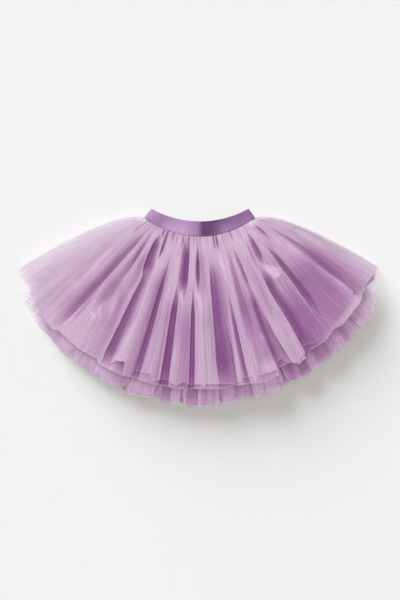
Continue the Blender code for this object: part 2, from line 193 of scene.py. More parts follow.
LOWER_CREASES = (
    Crease(0.10, 1.30, -0.900, -0.903, -0.905, 0.010, 0.004, 0.001, 0.45, 0.20),
    Crease(0.20, 1.30, -0.760, -0.768, -0.775, 0.018, 0.010, 0.000, 0.35, 0.12),
    Crease(0.10, 1.30, -0.620, -0.630, -0.640, 0.012, 0.014, 0.001, 0.40, 0.10),
    Crease(0.30, 1.30, -0.500, -0.504, -0.508, 0.016, 0.004, 0.001, 0.40, 0.12),
    Crease(0.10, 1.30, -0.392, -0.390, -0.388, 0.022, 0.012, 0.022, 0.40, 0.16),
    Crease(0.10, 1.30, -0.330, -0.334, -0.338, 0.010, 0.003, 0.002, 0.60, 0.25),
    Crease(0.40, 1.30, -0.206, -0.206, -0.206, 0.003, 0.004, 0.003, 0.60, 0.20),
    Crease(0.40, 1.30, -0.160, -0.158, -0.156, 0.008, 0.004, 0.018, 0.60, 0.50),
    Crease(0.10, 1.30, -0.085, -0.086, -0.087, 0.003, 0.004, 0.003, 0.60, 0.20),
    Crease(0.50, 1.30, -0.036, -0.036, -0.036, 0.006, 0.006, 0.024, 0.60, 0.48),
    Crease(0.50, 1.30, 0.030, 0.031, 0.032, 0.014, 0.006, 0.000, 0.35, 0.25),
    Crease(0.30, 1.30, 0.096, 0.097, 0.097, 0.003, 0.003, 0.003, 0.60, 0.25),
    Crease(0.60, 1.30, 0.170, 0.172, 0.175, 0.014, 0.012, 0.000, 0.40, 0.25),
    Crease(0.30, 1.30, 0.245, 0.245, 0.246, 0.010, 0.004, 0.001, 0.55, 0.30),
    Crease(0.70, 1.30, 0.300, 0.301, 0.303, 0.006, 0.010, 0.000, 0.35, 0.10),
    Crease(0.10, 1.30, 0.400, 0.404, 0.406, 0.003, 0.004, 0.004, 0.70, 0.40),
    Crease(0.60, 1.30, 0.440, 0.442, 0.445, 0.010, 0.010, 0.010, 0.40, 0.42),
    Crease(0.30, 1.30, 0.500, 0.502, 0.504, 0.008, 0.012, 0.016, 0.40, 0.46),
    Crease(0.20, 1.30, 0.586, 0.590, 0.592, 0.010, 0.014, 0.010, 0.45, 0.44),
    Crease(0.20, 1.30, 0.636, 0.640, 0.642, 0.010, 0.008, 0.006, 0.40, 0.26),
    Crease(0.10, 1.30, 0.740, 0.746, 0.750, 0.008, 0.014, 0.008, 0.45, 0.26),
    Crease(0.20, 1.30, 0.820, 0.826, 0.832, 0.012, 0.004, 0.001, 0.45, 0.35),
    Crease(0.40, 1.30, 0.910, 0.916, 0.922, 0.006, 0.008, 0.000, 0.35, 0.20),
)

# Painted highlights where the cloth is pinched, and patches of painted light over shaded cloth: where
# each one's middle is, its half-width at the hem's scale, its half-length along the rays, how far it
# leans over its half-length, and its strength
Glint = namedtuple("Glint", "share along width length lean strength")
UPPER_GLINTS = (
    Glint(-0.127, 0.405, 0.012, 0.050, 0.004, 0.60),
    Glint(-0.114, 0.385, 0.004, 0.020, -0.006, 1.00),
    Glint(-0.138, 0.410, 0.004, 0.024, 0.006, 0.90),
    Glint(0.010, 0.450, 0.012, 0.090, 0.006, 0.60),
    Glint(-0.004, 0.400, 0.004, 0.034, 0.007, 1.10),
    Glint(0.024, 0.470, 0.004, 0.036, 0.006, 0.80),
    Glint(0.190, 0.200, 0.014, 0.080, 0.003, 0.70),
    Glint(0.200, 0.300, 0.008, 0.100, 0.006, 0.40),
    Glint(0.556, 0.390, 0.034, 0.085, 0.012, 1.00),
    Glint(0.566, 0.428, 0.026, 0.040, 0.000, 1.10),
    Glint(0.542, 0.360, 0.008, 0.070, 0.010, 0.60),
    Glint(-0.586, 0.780, 0.016, 0.020, 0.004, 0.70),
    Glint(-0.560, 0.740, 0.006, 0.060, 0.010, 0.60),
    Glint(-0.512, 0.640, 0.014, 0.140, 0.004, 0.50),
    Glint(0.330, 0.760, 0.010, 0.050, 0.004, 0.35),
    Glint(0.030, 0.700, 0.022, 0.260, 0.000, 0.14),
    Glint(0.460, 0.060, 0.120, 0.120, 0.000, 0.45),
    Glint(0.790, 0.420, 0.050, 0.250, 0.000, 0.26),
    Glint(-0.760, 0.450, 0.060, 0.400, 0.000, 0.30),
    Glint(-0.640, 0.300, 0.030, 0.250, 0.000, 0.22),
    Glint(-0.480, 0.420, 0.016, 0.200, 0.000, 0.30),
    Glint(-0.110, 0.800, 0.020, 0.220, 0.000, 0.16),
    Glint(-0.368, 0.780, 0.010, 0.260, -0.010, 0.50),
    Glint(-0.206, 0.700, 0.008, 0.400, 0.000, 0.30),
    Glint(0.262, 0.860, 0.006, 0.200, 0.004, 0.50),
    Glint(-0.250, 0.820, 0.012, 0.220, -0.004, 0.50),
    Glint(0.318, 0.980, 0.032, 0.110, 0.004, 0.55),
    Glint(0.770, 0.020, 0.110, 0.070, 0.000, 1.20),
    Glint(0.955, 0.440, 0.026, 0.280, 0.000, 0.45),
    Glint(0.470, 0.620, 0.020, 0.320, 0.020, 0.16),
)
# Painted shade on the second layer where it shows below the outer hem
SECOND_CREASES = (
    Crease(0.80, 1.20, -0.358, -0.358, -0.358, 0.010, 0.006, 0.014, 0.05, 0.56, 0.10),
    Crease(0.80, 1.20, -0.030, -0.030, -0.030, 0.050, 0.050, 0.100, 0.02, 0.30, 0.10),
)
# Painted light on the second layer where it shows below the outer hem
SECOND_GLINTS = (
    Glint(-0.560, 1.040, 0.220, 0.080, 0.000, 0.55),
    Glint(0.780, 1.000, 0.110, 0.110, 0.000, 0.75),
    Glint(0.640, 0.980, 0.050, 0.080, 0.000, 0.40),
)

# Cut edges of the layers' hems from left to right: a share, and how far along the rays the edge is there
HEMS = {
    "outer": (
        (-1, 1.014), (-0.94, 1.03), (-0.9, 0.996), (-0.78, 1.01), (-0.7, 1.022), (-0.607, 1.02),
        (-0.512, 1.001), (-0.464, 1.002), (-0.412, 1.02), (-0.382, 0.966), (-0.345, 0.95),
        (-0.338, 1.04), (-0.298, 0.998), (-0.288, 0.98), (-0.276, 0.984), (-0.22, 0.97),
        (-0.214, 1.028), (-0.17, 0.993), (-0.155, 0.99), (-0.133, 0.994), (-0.102, 1.016),
        (-0.069, 0.985), (-0.045, 1.006), (-0.012, 0.998), (0.01, 1.004), (0.022, 1.022),
        (0.028, 0.998), (0.086, 1.006), (0.149, 1.018), (0.182, 1.009), (0.188, 0.988), (0.236, 0.996),
        (0.241, 1.046), (0.262, 1), (0.35, 1.01), (0.362, 0.96), (0.385, 0.955), (0.392, 0.985),
        (0.434, 1.022), (0.486, 1), (0.503, 0.948), (0.551, 0.98), (0.64, 0.974), (0.652, 0.955),
        (0.74, 0.962), (0.834, 0.922), (0.842, 0.955), (0.93, 0.976), (1, 1),
    ),
    "second": (
        (-1, 1.03), (-0.93, 1), (-0.8, 1.034), (-0.69, 1.05), (-0.68, 1.028), (-0.56, 1.03),
        (-0.462, 1.02), (-0.455, 1.042), (-0.335, 1.044), (-0.29, 1.03), (-0.21, 1.036), (-0.15, 1.034),
        (-0.05, 1.038), (0, 1.03), (0.09, 1.04), (0.15, 1.03), (0.23, 1.042), (0.29, 1.058),
        (0.35, 1.046), (0.358, 1), (0.43, 1.006), (0.44, 1.04), (0.5, 1.022), (0.508, 1), (0.6, 1.012),
        (0.65, 0.99), (0.7, 1.01), (0.84, 1), (0.86, 0.98), (1, 1.02),
    ),
    "under": (
        (-1, 1.06), (-0.93, 1.082), (-0.9, 1.07), (-0.89, 1.088), (-0.78, 1.078), (-0.7, 1.098),
        (-0.6, 1.088), (-0.512, 1.106), (-0.505, 1.124), (-0.4, 1.118), (-0.342, 1.088),
        (-0.336, 1.128), (-0.26, 1.114), (-0.2, 1.108), (-0.192, 1.082), (-0.14, 1.118),
        (-0.092, 1.124), (-0.084, 1.096), (0, 1.126), (0.032, 1.13), (0.092, 1.116), (0.1, 1.09),
        (0.17, 1.122), (0.244, 1.11), (0.25, 1.128), (0.33, 1.118), (0.394, 1.124), (0.404, 1.07),
        (0.47, 1.1), (0.48, 1.12), (0.56, 1.104), (0.64, 1.098), (0.7, 1.086), (0.706, 1.11),
        (0.83, 1.094), (0.838, 1.07), (0.92, 1.104), (1, 1.1),
    ),
    "petticoat": (
        (-1, 1.085), (-0.95, 1.098), (-0.893, 1.08), (-0.886, 1.106), (-0.78, 1.1), (-0.7, 1.118),
        (-0.6, 1.124), (-0.545, 1.12), (-0.51, 1.136), (-0.45, 1.14), (-0.4, 1.146), (-0.345, 1.112),
        (-0.334, 1.156), (-0.216, 1.138), (-0.204, 1.114), (-0.186, 1.112), (-0.178, 1.146),
        (-0.096, 1.148), (-0.09, 1.102), (-0.078, 1.11), (-0.064, 1.158), (0.033, 1.154),
        (0.086, 1.148), (0.091, 1.118), (0.102, 1.116), (0.108, 1.15), (0.155, 1.143), (0.2, 1.126),
        (0.237, 1.144), (0.32, 1.15), (0.38, 1.147), (0.389, 1.088), (0.412, 1.09), (0.43, 1.128),
        (0.505, 1.146), (0.58, 1.13), (0.69, 1.12), (0.698, 1.14), (0.812, 1.12), (0.89, 1.13),
        (0.94, 1.122), (1, 1.112),
    ),
}

# Gathers where the tulle leaves the band, from left to right: the share at the band, how far a gather
# leans, its length along the rays, its width at the hem's scale and how deep it is, which also sets its
# painted shade
GATHERS = (
    (-0.9, -0.02, 0.12, 0.012, 0.1), (-0.83, -0.02, 0.16, 0.012, 0.14),
    (-0.77, -0.02, 0.14, 0.014, 0.3), (-0.7, -0.02, 0.2, 0.015, 0.4), (-0.64, -0.02, 0.12, 0.012, 0.42),
    (-0.59, -0.01, 0.14, 0.011, 0.26), (-0.545, -0.01, 0.08, 0.011, 0.4), (-0.505, 0, 0.07, 0.01, 0.44),
    (-0.455, -0.01, 0.08, 0.01, 0.46), (-0.41, 0, 0.08, 0.012, 0.52), (-0.367, 0, 0.11, 0.012, 0.86),
    (-0.326, -0.01, 0.22, 0.016, 0.84), (-0.29, 0, 0.1, 0.012, 0.5), (-0.26, -0.01, 0.1, 0.012, 0.66),
    (-0.226, 0, 0.12, 0.01, 0.42), (-0.193, 0, 0.06, 0.01, 0.34), (-0.164, 0, 0.14, 0.012, 0.55),
    (-0.134, 0, 0.06, 0.009, 0.36), (-0.104, 0, 0.1, 0.012, 0.62), (-0.072, 0, 0.07, 0.008, 0.3),
    (-0.042, 0, 0.09, 0.009, 0.74), (-0.018, 0, 0.06, 0.007, 0.28), (0.008, -0.01, 0.09, 0.009, 0.66),
    (0.036, 0, 0.1, 0.011, 0.5), (0.076, 0, 0.08, 0.009, 0.36), (0.115, 0, 0.1, 0.01, 0.42),
    (0.142, 0, 0.05, 0.008, 0.28), (0.166, 0, 0.13, 0.01, 0.92), (0.189, 0, 0.14, 0.011, 0.92),
    (0.216, 0, 0.05, 0.008, 0.26), (0.24, 0, 0.11, 0.01, 0.46), (0.27, 0, 0.07, 0.01, 0.32),
    (0.304, 0, 0.1, 0.01, 0.32), (0.344, 0, 0.1, 0.011, 0.8), (0.38, 0, 0.07, 0.01, 0.22),
    (0.418, 0, 0.11, 0.01, 0.3), (0.456, -0.01, 0.15, 0.012, 0.32), (0.5, -0.01, 0.1, 0.01, 0.2),
    (0.548, 0, 0.12, 0.012, 0.26), (0.605, 0, 0.11, 0.012, 0.22), (0.665, 0, 0.15, 0.013, 0.22),
    (0.725, -0.01, 0.2, 0.014, 0.24), (0.785, 0, 0.12, 0.012, 0.24), (0.85, 0, 0.16, 0.012, 0.2),
    (0.915, 0, 0.1, 0.01, 0.12),
)
GATHER_START = -0.2
GATHER_FLOOR = 0.0012
GATHER_RIGHT = 0.8  # its right slope's width against its left one's
GATHER_SHADE = 0.8  # how much painted shade a gather has for its depth

# Small and broad soft creases over a panel: how many, how deep, how much painted shade, where they
# start, and how long and wide they are
Softness = namedtuple("Softness", "count depth dark start length width")
SMALL_FOLDS = Softness(64, (0.02, 0.09), (0.06, 0.26), (0.0, 0.6), (0.25, 0.9), 0.012)
BROAD_FOLDS = Softness(20, (0.03, 0.08), (0.10, 0.28), (0.0, 0.4), (0.5, 1.2), 0.034)
LOWER_FOLDS = Softness(46, (0.02, 0.09), (0.04, 0.22), (0.2, 0.7), (0.6, 1.0), 0.010)
SOFT_REACH = 0.97  # the share that they go out to
SOFT_SCATTER = 0.4  # how far one is from its even place, as a share of the space between two
SOFT_DRIFT = 0.01
SOFT_LEFT = (0.6, 1.4)  # its slopes, as shares of its width
SOFT_RIGHT = (0.4, 1.0)

# Ripples finer than the soft creases
RIPPLES = 12
RIPPLE_HEIGHT = 0.00010
RIPPLE_COUNTS = (18, 90)
RIPPLE_DRIFT = 2.5
RIPPLE_SWELL = 0.4
RIPPLE_SWELLS = (0.4, 1.4)
RIPPLE_LEAD = 0.1  # they reach their height this far from the band
HEM_FLUTTER = 0.00048  # their height at the cut edge
FLUTTER_LENGTH = 0.2

# Shade over a whole tier from its left side to its right: a share, and how dark it is there
UPPER_SHADES = (
    (-1, 0), (-0.5, 0), (-0.3, 0.02), (0.3, 0.02), (0.55, 0.08), (0.85, 0.09), (1, 0),
)
LOWER_SHADES = (
    (-1, 0), (-0.5, 0.02), (-0.3, 0.12), (0.08, 0.12), (0.11, 0.24), (0.25, 0.24), (0.27, 0.02),
    (0.37, 0.04), (0.41, 0.34), (0.7, 0.34), (1, 0.02),
)

# How ragged the cut edges are, along the rays
OUTER_FRAY = 0.004
INNER_FRAY = 0.007
FRAY_RANGE = (-1, 0.6)
ROW_POWER = 1.1  # above 1, the rows lie closer together near the band

CRISP_SLOPE = 0.006  # slopes narrower than this have a rounded edge over an upright side
SOFT_SLOPE = 0.012
STEEP_SHADE = 0.28  # painted shade on upright cloth, partly because more of the net is seen through there
TONE_FALL = 1.4  # above 1, the painted shade fades sooner up a crease's sides than its depth does
SWAY_WIDTH = 0.032  # a crease also draws down the cloth and paints a little shade this far to its sides
SWAY_SHARE = 0.14
LINE_WIDTH = 0.0022  # of the painted highlight line along a crisp edge, at the hem
LINE_PLACE = 0.9  # the painted line is this far up the slope
NARROWEST = 0.0012
NO_AREA = 1e-12  # keeps a flat spot's normal from a division by zero

SKIRT_SET = "skirt"  # collection of the pieces, which the cloth's light falls on
STAGE_SET = "stage"  # collection of the floor, which the shadow's light falls on
UV_NAME = "OFBake"  # one flat map over a panel, from side to side and from the band to the hem
# Painted shading: on the tulle the shade in and beside its folds, on the elastic its satin sheen and
# shade
PAINTED_SHADING = "painted_shading"
FULLNESS = "fullness"
# Painted highlights along folded and cut edges and at glints, and painted light on the sheer sides
PAINTED_LIGHT = "painted_light"

Cut = namedtuple("Cut", "width length area held")
CUTS = {
    "outer_front": Cut(1.15, 0.235, 0.195, "gathered"),
    "second_front": Cut(1.12, 0.245, 0.195, "gathered"),
    "under_front": Cut(0.85, 0.270, 0.165, "gathered"),
    "petticoat_front": Cut(0.82, 0.280, 0.165, "gathered"),
    "outer_back": Cut(0.80, 0.235, 0.140, "gathered"),
    "second_back": Cut(0.77, 0.245, 0.140, "gathered"),
    "under_back": Cut(0.73, 0.265, 0.140, "gathered"),
    "petticoat_back": Cut(0.70, 0.275, 0.140, "gathered"),
    "waistband": Cut(0.400, 0.0255, 0.0100, "folded"),
}


def eased(share):
    """A step from 0 to 1 with level ends."""
    share = np.clip(share, 0, 1)
    return share * share * (3 - 2 * share)


def rounded(share):
    """Quarter of an ellipse: 0 and upright at one end, 1 and level at the other."""
    return np.sqrt(1 - (1 - np.clip(share, 0, 1)) ** 2)


def on_arc(centre, radius, angle):
    """Points on an arc, by their angle from its lowest point."""
    turn = np.radians(angle)
    return np.stack((centre[0] + radius * np.sin(turn), centre[1] - radius * np.cos(turn)), axis=-1)


def arch(share, along):
    """How far a ray bows towards the waist: most near the sides, and soon after it leaves the band."""
    step = (np.sqrt(RAY_LEAD**2 + 4 * (1 - RAY_LEAD) * along) - RAY_LEAD) / (2 * (1 - RAY_LEAD))
    return 2 * step * (1 - step) * SHOULDER * np.abs(share) ** SHOULDER_POWER


def plan(shares, along, base, inner):
    """Points in plan on the rays of a tier, from the band at 0 to the outer hem at 1."""
    outside = np.maximum(along, 0)
    waist_share = np.interp(shares, RAY_HEM, RAY_WAIST)
    share = shares + (waist_share - shares) * np.clip(1 - outside, 0, 1) ** WAIST_BLEND
    at_waist = base.waist_half * np.sin(np.radians(90) * share)
    drawn_in = (base.hem_half - inner.hem_half) * np.clip(along, 0, 1) * np.abs(share) ** SIDE_POWER
    at_hem = base.hem_half * share - np.sign(share) * drawn_in
    tucked = on_arc(BAND_LOWER_CENTRE, BAND_LOWER_RADIUS - TUCK, at_waist)
    waist = on_arc(BAND_LOWER_CENTRE, BAND_LOWER_RADIUS, at_waist)
    hem = on_arc(HEM_CENTRE, HEM_RADIUS, at_hem)
    point = waist + (hem - waist) * outside[..., None]
    point[..., 1] += arch(share, outside)
    return np.where((along < 0)[..., None], tucked, point) + MIDDLE


def slope(distance, width, crispness):
    """How much of a crease's depth is left at a distance up its side."""
    share = distance / width
    return 1 - (crispness * rounded(share) + (1 - crispness) * eased(share))


def crease_carve(crease, shares, along, across):
    """How deep in a crease each point is, how far it is drawn down beside it, and its painted highlight
    lines.
    """
    middle = along[:, along.shape[1] // 2]
    path = np.clip((middle - crease.start) / (crease.end - crease.start), 0, 1)
    bend = crease.middle - (crease.first + crease.last) / 2
    share = crease.first + (crease.last - crease.first) * path + 4 * bend * path * (1 - path)
    centre = np.array([np.interp(at, shares, row) for at, row in zip(share, across)])
    distance = across - centre[:, None]
    spread = (across[:, -1] - across[:, 0]) / (across[-1, -1] - across[-1, 0])
    ends = eased((middle - crease.start) / crease.taper)
    if crease.end < BEYOND_HEM:
        ends *= eased((crease.end - middle) / crease.taper)
    out = np.abs(distance) - (crease.floor / 2 * spread * ends)[:, None]
    side = np.where(distance < 0, crease.left, crease.right)
    crispness = eased((SOFT_SLOPE - side) / (SOFT_SLOPE - CRISP_SLOPE))
    narrowed = spread * (END_WIDTH + (1 - END_WIDTH) * ends)
    width = np.maximum(side * narrowed[:, None], NARROWEST)
    near = slope(np.maximum(out, 0), width, crispness) * ends[:, None]
    wide = 1 - eased(np.abs(distance) / np.maximum(SWAY_WIDTH * spread, NARROWEST)[:, None])
    wide *= SWAY_SHARE * ends[:, None]
    line_width = np.maximum(LINE_WIDTH * spread, NARROWEST / 2)[:, None]
    line = 1 - eased(np.abs(out - width * LINE_PLACE) / line_width)
    return near, wide, crease.depth * line * crispness * ends[:, None]


def glint_light(glint, shares, along, across):
    """How near each point is to the middle of a painted highlight, from 0 to 1."""
    spread = ((across[:, -1] - across[:, 0]) / (across[-1, -1] - across[-1, 0]))[:, None]
    centre = np.array([np.interp(glint.share, shares, row) for row in across])[:, None]
    lengthwise = (along - glint.along) / glint.length
    sideways = (across - centre - glint.lean * lengthwise) / (glint.width * spread)
    return 1 - eased(np.hypot(sideways, lengthwise))


def soft_creases(seed, softness):
    """Small creases spread unevenly over a panel."""
    random = np.random.default_rng(seed)
    creases = []
    for place in np.linspace(-SOFT_REACH, SOFT_REACH, softness.count):
        share = place + random.uniform(-SOFT_SCATTER, SOFT_SCATTER) * 2 / softness.count
        begins = random.uniform(*softness.start)
        ends = begins + random.uniform(*softness.length)
        drift = random.uniform(-SOFT_DRIFT, SOFT_DRIFT)
        left = random.uniform(*SOFT_LEFT) * softness.width
        right = random.uniform(*SOFT_RIGHT) * softness.width
        depth = random.uniform(*softness.depth)
        dark = random.uniform(*softness.dark)
        creases.append(Crease(
            begins, ends, share - drift, share, share + drift, left, right, 0.0, depth, dark, SOFT_TAPER,
        ))
    return creases


def gathers():
    """Narrow creases that start inside the band and end soon after it."""
    return [
        Crease(
            GATHER_START, length, share, share + lean / 2, share + lean, width, GATHER_RIGHT * width,
            GATHER_FLOOR, dark, GATHER_SHADE * dark,
        )
        for share, lean, length, width, dark in GATHERS
    ]


def ripples(seed, shares, along):
    """Fine ripples that run down the cloth, from -1 to 1."""
    random = np.random.default_rng(seed)
    total = np.zeros_like(along)
    for count in np.geomspace(*RIPPLE_COUNTS, RIPPLES):
        drift = random.uniform(-RIPPLE_DRIFT, RIPPLE_DRIFT)
        turns = along * random.uniform(*RIPPLE_SWELLS) + shares + random.uniform()
        swell = 1 - RIPPLE_SWELL + RIPPLE_SWELL * np.sin(2 * np.pi * turns)
        total += swell * np.sin(np.pi * (count * shares + drift * along) + random.uniform(0, 2 * np.pi))
    return total / math.sqrt(RIPPLES)


def rest_height(layer, along):
    """Height of a layer's back panel, which steps up onto the band's lower ply."""
    lift = BAND_LIFT * (1 - eased(along / BAND_LIFT_LENGTH))
    return PLY_LEVEL + PLY_PITCH * layer.level + lift


def near_hem(along, length):
    """0 over most of a panel, and 1 at its cut edge."""
    return eased((along / along[-1] - (1 - length)) / length)


def side_distance(points):
    """How far each point of a row is from the nearer side edge."""
    left = np.linalg.norm(points - points[:, :1], axis=2)
    right = np.linalg.norm(points - points[:, -1:], axis=2)
    return np.minimum(left, right)


def ray_rows(shares, hem, rows, fray, seed):
    """Rows of distances along the rays, from -1 inside the band to the frayed cut edge."""
    edge = np.interp(shares, *np.transpose(hem))
    edge += fray * np.random.default_rng(seed).uniform(*FRAY_RANGE, shares.size)
    steps = np.linspace(0, 1, rows) ** ROW_POWER
    return np.vstack((np.full_like(edge, -1.0), steps[:, None] * edge))


def steepness(points):
    """0 where the cloth is level and 1 where it is upright."""
    normal = np.cross(np.gradient(points, axis=0), np.gradient(points, axis=1))
    return 1 - np.abs(normal[..., 2]) / np.maximum(np.linalg.norm(normal, axis=2), NO_AREA)


def front_panel(layer, base, creases, glints, fold_depth, seed):
    """Points of a front panel, its painted shade, its painted highlights and its distances along the
    rays.
    """
    upper = base is OUTER
    shares = np.linspace(-1, 1, layer.columns + 1)
    along = ray_rows(shares, HEMS[layer.name], layer.rows, OUTER_FRAY if upper else INNER_FRAY, seed)
    flat = plan(shares + 0 * along, along, base, layer)
    across = np.cumsum(np.linalg.norm(np.diff(flat, axis=1, prepend=flat[:, :1]), axis=2), axis=1)
    left, light, painted_light = np.ones_like(along), np.ones_like(along), np.zeros_like(along)
    # Painted shade in and beside each crease, lighter at the cut edge, and painted highlights along
    # crisp edges and at the glints
    at_hem = 1 - HEM_EASE * near_hem(along, HEM_EASE_LENGTH)
    for crease in creases:
        near, wide, line = crease_carve(crease, shares, along, across)
        left *= (1 - crease.depth * near) * (1 - crease.depth * wide)
        light *= (1 - crease.dark * at_hem * near**TONE_FALL) * (1 - crease.dark * wide)
        painted_light = np.maximum(painted_light * (1 - crease.dark * near), line)
    light *= 1 - np.interp(shares, *np.transpose(UPPER_SHADES if upper else LOWER_SHADES))
    for glint in glints:
        painted_light = np.maximum(painted_light, glint.strength * glint_light(glint, shares, along, across))
    levels = np.array(LEVELS).T
    first = 1 if upper else 3
    top = np.interp(along, levels[0], levels[first])
    floor = np.interp(along, levels[0], levels[first + 1])
    floor = top - (top - floor) * fold_depth
    height = floor + (top - floor) * left
    ripple = RIPPLE_HEIGHT * eased(along / RIPPLE_LEAD) + HEM_FLUTTER * near_hem(along, FLUTTER_LENGTH)
    height += ripple * ripples(seed, shares, along)
    height -= FRONT_GAP * (layer is not base)
    side = side_distance(flat)
    roll = base.waist_roll + (base.hem_roll - base.waist_roll) * np.clip(along, 0, 1)
    edge = rest_height(layer, along) + EDGE_LIFT
    height = edge + (height - edge) * rounded(side / roll)
    points = np.concatenate((flat, height[..., None]), axis=2)
    # More painted shade where the cloth is upright, partly because more of the net is seen through there
    light *= 1 - STEEP_SHADE * eased(steepness(points)) * eased(side / (2 * roll))
    return points, 1 - light, painted_light, along


def quad_corners(grid):
    """What a grid holds at the four corners of each of its quads."""
    return np.stack((grid[:-1, :-1], grid[1:, :-1], grid[1:, 1:], grid[:-1, 1:]), axis=2)


def panel_mesh(name, points, closed=False):
    """A grid of points as a mesh with one flat map. The rows run from the band to the hem."""
    rows, columns = points.shape[:2]
    index = np.arange(rows * columns).reshape(rows, columns)
    if closed:
        index = np.column_stack((index, index[:, 0]))
    quads = quad_corners(index).reshape(-1, 4)
    mesh = bpy.data.meshes.new(name)
    mesh.from_pydata(points.reshape(-1, 3).tolist(), [], quads.tolist())
    across, along = np.meshgrid(np.linspace(0, 1, index.shape[1]), np.linspace(1, 0, rows))
    corners = quad_corners(np.stack((across, along), axis=-1))
    layer = mesh.uv_layers.new(name=UV_NAME)
    layer.uv.foreach_set("vector", corners.reshape(-1).astype(np.float32))
    mesh.shade_smooth()
    return mesh


def add_attribute(mesh, name, values):
    attribute = mesh.attributes.new(name, "FLOAT", "POINT")
    attribute.data.foreach_set("value", np.clip(values, 0, 1).reshape(-1).astype(np.float32))


def collection_of(name):
    """The named collection of the scene, made if it isn't there."""
    found = bpy.data.collections.get(name)
    if found is None:
        found = bpy.data.collections.new(name)
        bpy.context.scene.collection.children.link(found)
    return found


def add_piece(name, mesh, material, group=SKIRT_SET):
    obj = bpy.data.objects.new(name, mesh)
    collection_of(group).objects.link(obj)
    mesh.materials.clear()
    mesh.materials.append(material)
    return obj


def stand_for(obj, node):
    """The piece takes a node's place and its finish."""
    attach(obj, "root")
    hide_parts(node)


def set_inputs(tree, node, inputs):
    """Gives inputs of a node, by name or number, their value, or a link where that is a socket."""
    for key, value in inputs.items():
        if isinstance(value, bpy.types.NodeSocket):
            tree.links.new(value, node.inputs[key])
        else:
            node.inputs[key].default_value = value


def node_at(tree, kind, place, inputs=(), **settings):
    """A new node. Its settings come before its inputs, because some change what inputs it has."""
    node = tree.nodes.new(kind)
    node.location = place
    for key, value in settings.items():
        setattr(node, key, value)
    set_inputs(tree, node, dict(inputs))
    return node


def math_node(tree, operation, place, *values):
    """The result of an operation on numbers and sockets."""
    return node_at(tree, "ShaderNodeMath", place, enumerate(values), operation=operation).outputs[0]


def mix_colours(tree, place, blend, factor, first, second):
    """A mix of two colours, each of them a value or a socket."""
    node = node_at(tree, "ShaderNodeMix", place, data_type="RGBA", blend_type=blend)
    shown = {socket.name: number for number, socket in enumerate(node.inputs) if socket.enabled}
    set_inputs(tree, node, {shown["Factor"]: factor, shown["A"]: first, shown["B"]: second})
    return next(socket for socket in node.outputs if socket.enabled)


def ranged(tree, place, value, start, end, low, high):
    """A value moved from between start and end to between low and high."""
    inputs = {"Value": value, "From Min": start, "From Max": end, "To Min": low, "To Max": high}
    return node_at(tree, "ShaderNodeMapRange", place, inputs).outputs[0]


def ramp_at(tree, place, value, *stops):
    """The colour for a value, from positions and their colours in order."""
    node = node_at(tree, "ShaderNodeValToRGB", place, {"Fac": value})
    elements = node.color_ramp.elements
    for element, (position, colour) in zip(elements, (stops[0], stops[-1])):
        element.position = position
        element.color = (*colour, 1)
    for position, colour in stops[1:-1]:
        elements.new(position).color = (*colour, 1)
    return node.outputs["Color"]


def noise_at(tree, place, vector, scale, detail=2.0, roughness=0.5, dimensions="2D"):
    inputs = {"Vector": vector, "Scale": scale, "Detail": detail, "Roughness": roughness}
    node = node_at(tree, "ShaderNodeTexNoise", place, inputs, noise_dimensions=dimensions)
    return node.outputs["Fac"]


def waves_at(tree, place, vector, direction, scale, distortion):
    inputs = {"Vector": vector, "Scale": scale, "Distortion": distortion}
    settings = {"wave_type": "BANDS", "bands_direction": direction}
    return node_at(tree, "ShaderNodeTexWave", place, inputs, **settings).outputs["Fac"]


def bump_at(tree, place, height, strength, distance):
    inputs = {"Height": height, "Strength": strength, "Distance": distance}
    return node_at(tree, "ShaderNodeBump", place, inputs).outputs[0]


def scaled(tree, place, vector, scale):
    return node_at(tree, "ShaderNodeMapping", place, {"Vector": vector, "Scale": scale}).outputs[0]


def flat_place(tree, place, cut):
    """Place on a piece's flat map, in metres."""
    flat = node_at(tree, "ShaderNodeUVMap", place, uv_map=UV_NAME).outputs[0]
    return scaled(tree, (place[0] + 180, place[1]), flat, (cut.width, cut.length, 1))


def object_place(tree, place):
    return node_at(tree, "ShaderNodeTexCoord", place).outputs["Object"]


def attribute_value(tree, name, place):
    return node_at(tree, "ShaderNodeAttribute", place, attribute_name=name).outputs["Fac"]


def new_material(name):
    material = bpy.data.materials.new(name)
    material.use_nodes = True
    tree = material.node_tree
    shader = tree.nodes["Principled BSDF"]
    shader.location = (900, 0)
    return material, tree, shader


# Tulle
NET_UNEVENNESS = 0.25
NET_THREAD = 0.18  # half-width of the net's thread, as a share of its cell
THREAD_SHARE = 0.12  # how much fuller the net is at a thread than between threads
OPEN_SHARE = 0.94  # how full it is between them
THREAD_RELIEF = 0.25  # height of a thread against that of the streaks
NET_BUMP = 0.35
NET_RELIEF = 0.0006
SHEEN_ROUGHNESS = 0.35
STREAK_DETAIL = 4.0
STREAK_ROUGHNESS = 0.65
CLOUD_SCALE = 26.0
CLOUD_DETAIL = 3.0
CLOUD_STRENGTH = 0.05
PATTERN_RANGE = (0.3, 0.7)  # most of a noise pattern lies between these
# Where on the painted shade the slope and crease colours lie
SLOPE_TONE = 0.42
CREASE_TONE = 0.95

# Elastic and sewing thread
WARP_SCALE = 260.0
WARP_DISTORTION = 0.6
WEFT_SCALE = 380.0
WEFT_DISTORTION = 0.8
WEAVE_RANGE = (0.86, 1.06)
WEAVE_BUMP = 0.5
WEAVE_RELIEF = 0.0003
SPECKLE_SCALE = 900.0
SPECKLE_STRENGTH = 0.12
MIDDLE_TONE = 0.38
TWIST_SCALE = 2500.0
# How dark the thread's painted shade gets
TWIST_SHADE = 0.7
THREAD_ROUGHNESS = 0.45


